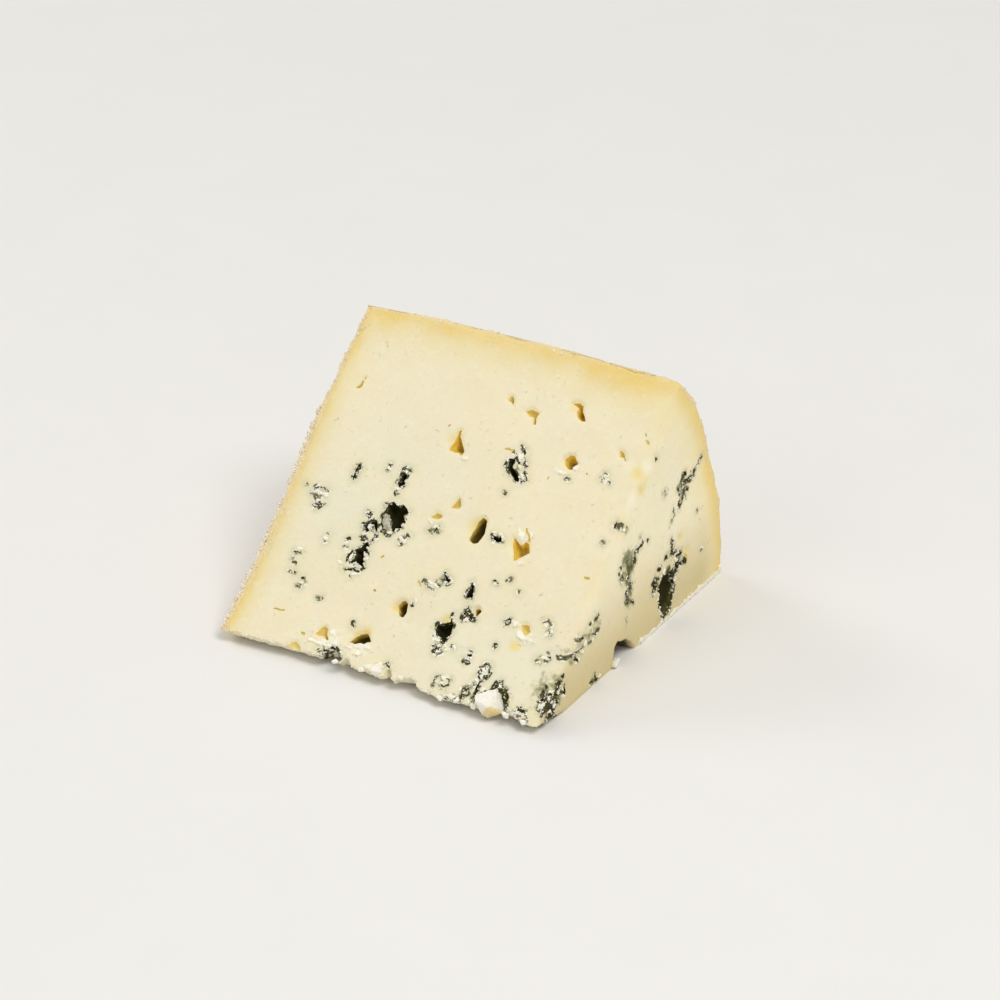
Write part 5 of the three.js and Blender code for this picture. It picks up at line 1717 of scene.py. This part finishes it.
def marbled(nodes, grain, colour, colours):
    """That colour with haze, smears and flakes round the mould, where the flakes are dark, and with painted
    shade in the hollow at the foot of the cross cut.
    """
    near = nodes.ease(nodes.value("mould_gap"), 1.0, 0.05)
    cast = nodes.value("cast")
    smear = nodes.value("smear")
    mist = nodes.ease(nodes.value("mould_gap"), 2.8, 0.2, 0.0, 0.4)
    around = nodes.most(nodes.most(cast, smear), mist)
    haze = nodes.ease(around, 0.0, 0.55, 0.0, 0.65)
    haze = nodes.times(haze, nodes.ease(grain["Patch"], 0.35, 0.6, 0.2, 1.0))
    colour = nodes.mix(haze, colour, colours.haze)
    body = nodes.scaled(grain["Patch"], 0.9, nodes.math("SUBTRACT", smear, 1.2))
    body = nodes.scaled(grain["Crumb"], 1.5, body)
    colour = nodes.mix(nodes.ease(body, 0.2, 0.85, 0.0, 0.88), colour, colours.cast)
    core = nodes.scaled(cast, 1.2, -0.2)
    zone = nodes.most(nodes.most(core, nodes.times(near, 0.42)), nodes.times(smear, 0.46))
    zone = nodes.times(zone, nodes.scaled(grain["Patch"], 2.4, -0.2))
    torn = nodes.scaled(smear, -0.35, zone)
    white = nodes.scaled(torn, 0.6, nodes.math("SUBTRACT", grain["Tone"], 1.0))
    colour = nodes.mix(nodes.ease(white, 0.0, 0.06, 0.0, 0.9), colour, colours.flake)
    gaps = nodes.times(nodes.ease(grain["Edge"], 0.16, 0.04), nodes.ease(zone, 0.25, 0.55))
    shard = nodes.scaled(zone, 0.75, nodes.times(grain["Tone"], -1.0))
    olive = nodes.times(nodes.ease(shard, -0.22, 0.0, 0.0, 0.5), nodes.ease(zone, 0.08, 0.3))
    colour = nodes.mix(olive, colour, colours.mould_dust)
    dark = nodes.most(nodes.ease(shard, 0.0, 0.12), gaps)
    dust = nodes.mix(nodes.ease(grain["Fine"], 0.48, 0.68), colours.mould, colours.mould_dust)
    dark = nodes.times(dark, nodes.scaled(nodes.value("faint"), -0.85, 0.97))
    colour = nodes.mix(dark, colour, dust)
    flakes = nodes.scaled(grain["Fine"], 0.5, nodes.math("SUBTRACT", nodes.value("pale"), 0.25))
    colour = nodes.mix(nodes.ease(flakes, 0.3, 0.6, 0.0, 0.9), colour, colours.flake)
    # Painted shade: the hollow at the foot of the cross cut is darkened with the mould's colour
    colour = nodes.mix(nodes.times(nodes.value("foot"), 0.9), colour, colours.mould)
    return colour, dark


def paste_material(colours):
    """Ivory paste, marbled round the mould."""
    material, nodes, shader = new_material("cheese_paste")
    place = nodes.object_place()
    grain = nodes.grain(place)
    colour, dark = marbled(nodes, grain, ivory(nodes, grain, place, colours), colours)
    nodes.link(colour, shader.inputs["Base Color"])
    nodes.link(nodes.ease(grain["Patch"], 0.3, 0.7, 0.48, 0.64), shader.inputs["Roughness"])
    set_fat(shader, 0.3)
    height = nodes.scaled(grain["Fine"], 0.35, nodes.times(grain["Patch"], 0.65))
    height = nodes.scaled(dark, -0.6, height)
    add_bump(nodes, shader, height, 0.6)
    return material


def eye_material(colours):
    """Amber lining of the open eyes, paler near the mouth as painted light and browner where deep as
    painted shade.
    """
    material, nodes, shader = new_material("cheese_eyes")
    grain = nodes.grain(nodes.object_place())
    depth = nodes.waver(nodes.value("depth"), grain["Crumb"], 1.4)
    bowl = nodes.value("bowl")
    # Painted light: the lining is paler butter near the mouth, where the walls catch the light
    colour = nodes.mix(nodes.ease(depth, -0.2, 0.9), colours.butter, colours.eye)
    colour = nodes.mix(nodes.ease(bowl, 0.1, 0.4), colours.slit, colour)
    # Painted shade: the lining darkens towards the floor, from nearer the mouth in the deep bowls
    deep = nodes.scaled(nodes.ease(bowl, 0.6, 0.9), 1.3, depth)
    colour = nodes.mix(nodes.ease(deep, 1.4, 3.4), colour, colours.eye_floor_shade)
    nodes.link(colour, shader.inputs["Base Color"])
    nodes.link(nodes.ease(grain["Crumb"], 0.3, 0.7, 0.3, 0.5), shader.inputs["Roughness"])
    set_fat(shader, 0.3)
    add_bump(nodes, shader, grain["Crumb"], 0.5)
    return material


def mould_material(colours):
    """Green-black mould with olive dust and pale flakes near the mouth of a pocket, darker deeper in as
    painted shade.
    """
    material, nodes, shader = new_material("cheese_mould")
    grain = nodes.grain(nodes.object_place())
    depth = nodes.waver(nodes.value("depth"), grain["Fine"], 1.6)
    # Painted shade: the olive dust thins deeper in a pocket, so the mould's own dark colour deepens inwards
    dusty = nodes.ease(grain["Patch"], 0.42, 0.6, 0.1, 0.6)
    dusty = nodes.times(dusty, nodes.ease(depth, 0.8, 2.2, 1.0, 0.35))
    dust = nodes.mix(dusty, colours.mould, colours.mould_dust)
    colour = nodes.mix(nodes.ease(depth, -0.2, 0.45), colours.mould_dust, dust)
    faint = nodes.times(nodes.value("faint"), nodes.ease(grain["Crumb"], 0.38, 0.58, 0.45, 1.1))
    colour = nodes.mix(faint, colour, colours.cast)
    flakes = nodes.times(nodes.ease(grain["Crumb"], 0.54, 0.64), nodes.ease(depth, 1.6, 0.4))
    colour = nodes.mix(flakes, colour, colours.flake)
    nodes.link(colour, shader.inputs["Base Color"])
    nodes.link(nodes.ease(grain["Fine"], 0.3, 0.7, 0.7, 0.95), shader.inputs["Roughness"])
    shader.inputs["Specular IOR Level"].default_value = 0.1
    add_bump(nodes, shader, grain["Fine"], 0.8)
    return material


def crumb_material(colours):
    """White flakes and grains, tan or grey-green where they are marked so, and tan on the big crumb's lower
    side as painted shade.
    """
    name = "cheese_crumbs"
    if name in bpy.data.materials:
        return bpy.data.materials[name]
    material, nodes, shader = new_material(name)
    grain = nodes.grain(nodes.object_place())
    colour = nodes.mix(nodes.ease(grain["Patch"], 0.4, 0.75, 0.0, 0.4), colours.crumb, colours.paste)
    colour = nodes.mix(nodes.value("tan"), colour, colours.crust)
    # Painted shade: the big crumb's lower side is tinted tan
    amber = nodes.scaled(grain["Crumb"], 0.9, nodes.math("SUBTRACT", nodes.value("amber"), 0.45))
    colour = nodes.mix(nodes.ease(amber, 0.25, 0.9, 0.0, 0.75), colour, colours.under_rind)
    green = nodes.times(nodes.value("green"), nodes.ease(grain["Crumb"], 0.3, 0.6, 0.3, 1.0))
    colour = nodes.mix(green, colour, colours.cast)
    nodes.link(colour, shader.inputs["Base Color"])
    shader.inputs["Roughness"].default_value = 0.6
    set_fat(shader, 0.2, 0.3 * MM, (1.0, 0.95, 0.9))
    add_bump(nodes, shader, grain["Fine"], 0.5)
    return material


def rind_material(colours):
    """Pale crust with tan pits and a cream bloom on its crags."""
    material, nodes, shader = new_material("cheese_rind")
    grain = nodes.grain(nodes.object_place())
    rise = nodes.waver(nodes.value("rise"), grain["Fine"], 0.8)
    colour = nodes.mix(nodes.ease(rise, -0.8, 0.0), colours.crust_dark, colours.crust)
    bloom = nodes.waver(rise, grain["Broad"], 2.4)
    colour = nodes.mix(nodes.ease(bloom, -0.9, 0.7, 0.0, 0.9), colour, colours.bloom)
    pale = nodes.times(nodes.value("edge"), nodes.ease(grain["Crumb"], 0.4, 0.6, 0.98, 0.7))
    colour = nodes.mix(pale, colour, colours.rim)
    nodes.link(colour, shader.inputs["Base Color"])
    nodes.link(nodes.ease(grain["Fine"], 0.3, 0.7, 0.62, 0.9), shader.inputs["Roughness"])
    set_fat(shader, 0.15)
    add_bump(nodes, shader, grain["Fine"], 0.7)
    return material


def floor_material(stage):
    material, nodes, shader = new_material("pale_floor")
    grain = nodes.noise(nodes.object_place(), 30 * MM, 3)
    pale = tuple(stage.floor)
    soft = tuple(0.97 * c for c in pale)
    nodes.link(nodes.mix(grain, pale, soft), shader.inputs["Base Color"])
    shader.inputs["Roughness"].default_value = 0.7
    return material


class SCENE_OT_cheese_stage(bpy.types.Operator):
    """Sets up the pale floor, the soft studio light and the camera"""

    bl_idname = "scene.cheese_stage"
    bl_label = "Stage"

    def execute(self, context):
        scene = context.scene
        settings = scene.cheese_stage
        clear_selection()
        bpy.ops.mesh.primitive_plane_add(size=6, location=(0, 0, 0))
        floor = context.object
        floor.name = "floor"
        floor.data.materials.append(floor_material(settings))
        world = bpy.data.worlds.new("studio")
        world.use_nodes = True
        background = next(n for n in world.node_tree.nodes if n.type == "BACKGROUND")
        background.inputs["Color"].default_value = (1.0, 0.985, 0.96, 1)
        background.inputs["Strength"].default_value = settings.world_strength
        scene.world = world
        for light, watts in zip(LIGHTS, (settings.key_power, settings.fill_power, settings.side_power)):
            self.area_light(*light, watts)
        self.camera(scene, settings)
        scene.view_settings.view_transform = "Standard"
        return {"FINISHED"}

    @staticmethod
    def area_light(name, place, size, colour, watts):
        data = bpy.data.lights.new(name, "AREA")
        data.shape = "DISK"
        data.size = size
        data.energy = watts
        data.color = colour
        light = bpy.data.objects.new(name, data)
        light.location = place
        light.rotation_euler = (LIGHT_TARGET - light.location).to_track_quat("-Z", "Y").to_euler()
        bpy.context.collection.objects.link(light)

    @staticmethod
    def camera(scene, settings):
        turn, rise = settings.azimuth, settings.elevation
        back = Vector((math.sin(turn) * math.cos(rise), -math.cos(turn) * math.cos(rise), math.sin(rise)))
        right = Vector((math.cos(turn), math.sin(turn), 0))
        up = back.cross(right)
        data = bpy.data.cameras.new("camera")
        data.lens = settings.lens
        data.sensor_width = SENSOR_WIDTH
        data.clip_start = 0.01
        camera = bpy.data.objects.new("camera", data)
        aim = DRUM_AXIS + settings.aim_right * right + settings.aim_up * up
        camera.location = aim + settings.distance * back
        camera.rotation_euler = Matrix((right, up, back)).transposed().to_euler()
        bpy.context.collection.objects.link(camera)
        scene.camera = camera


class VIEW3D_PT_cheese(bpy.types.Panel):
    """Lists the pieces of the cheese wedge"""

    bl_label = "Cheese Wedge"
    bl_idname = "VIEW3D_PT_cheese"
    bl_space_type = "VIEW_3D"
    bl_region_type = "UI"
    bl_category = "Cheese"

    def draw(self, context):
        for operator in OPERATORS:
            self.layout.operator(operator.bl_idname)
        scene = context.scene
        for settings in (scene.cheese_sizes, scene.cheese_colours, scene.cheese_stage):
            box = self.layout.box()
            for name in settings.bl_rna.properties.keys():
                if name not in ("rna_type", "name"):
                    box.prop(settings, name)


OPERATORS = (MESH_OT_cheese_paste, MESH_OT_cheese_rind, MESH_OT_cheese_crumbs, MESH_OT_cheese_grains,
             SCENE_OT_cheese_stage)
CLASSES = (CheeseSizes, CheeseColours, CheeseStage, *OPERATORS, VIEW3D_PT_cheese)


def register():
    for cls in CLASSES:
        bpy.utils.register_class(cls)
    bpy.types.Scene.cheese_sizes = bpy.props.PointerProperty(type=CheeseSizes)
    bpy.types.Scene.cheese_colours = bpy.props.PointerProperty(type=CheeseColours)
    bpy.types.Scene.cheese_stage = bpy.props.PointerProperty(type=CheeseStage)


def unregister():
    del bpy.types.Scene.cheese_stage
    del bpy.types.Scene.cheese_colours
    del bpy.types.Scene.cheese_sizes
    for cls in reversed(CLASSES):
        bpy.utils.unregister_class(cls)


def main():
    register()
    bpy.ops.mesh.cheese_paste()
    bpy.ops.mesh.cheese_rind()
    bpy.ops.mesh.cheese_crumbs()
    bpy.ops.mesh.cheese_grains()
    bpy.ops.scene.cheese_stage()


if __name__ == "__main__":
    main()
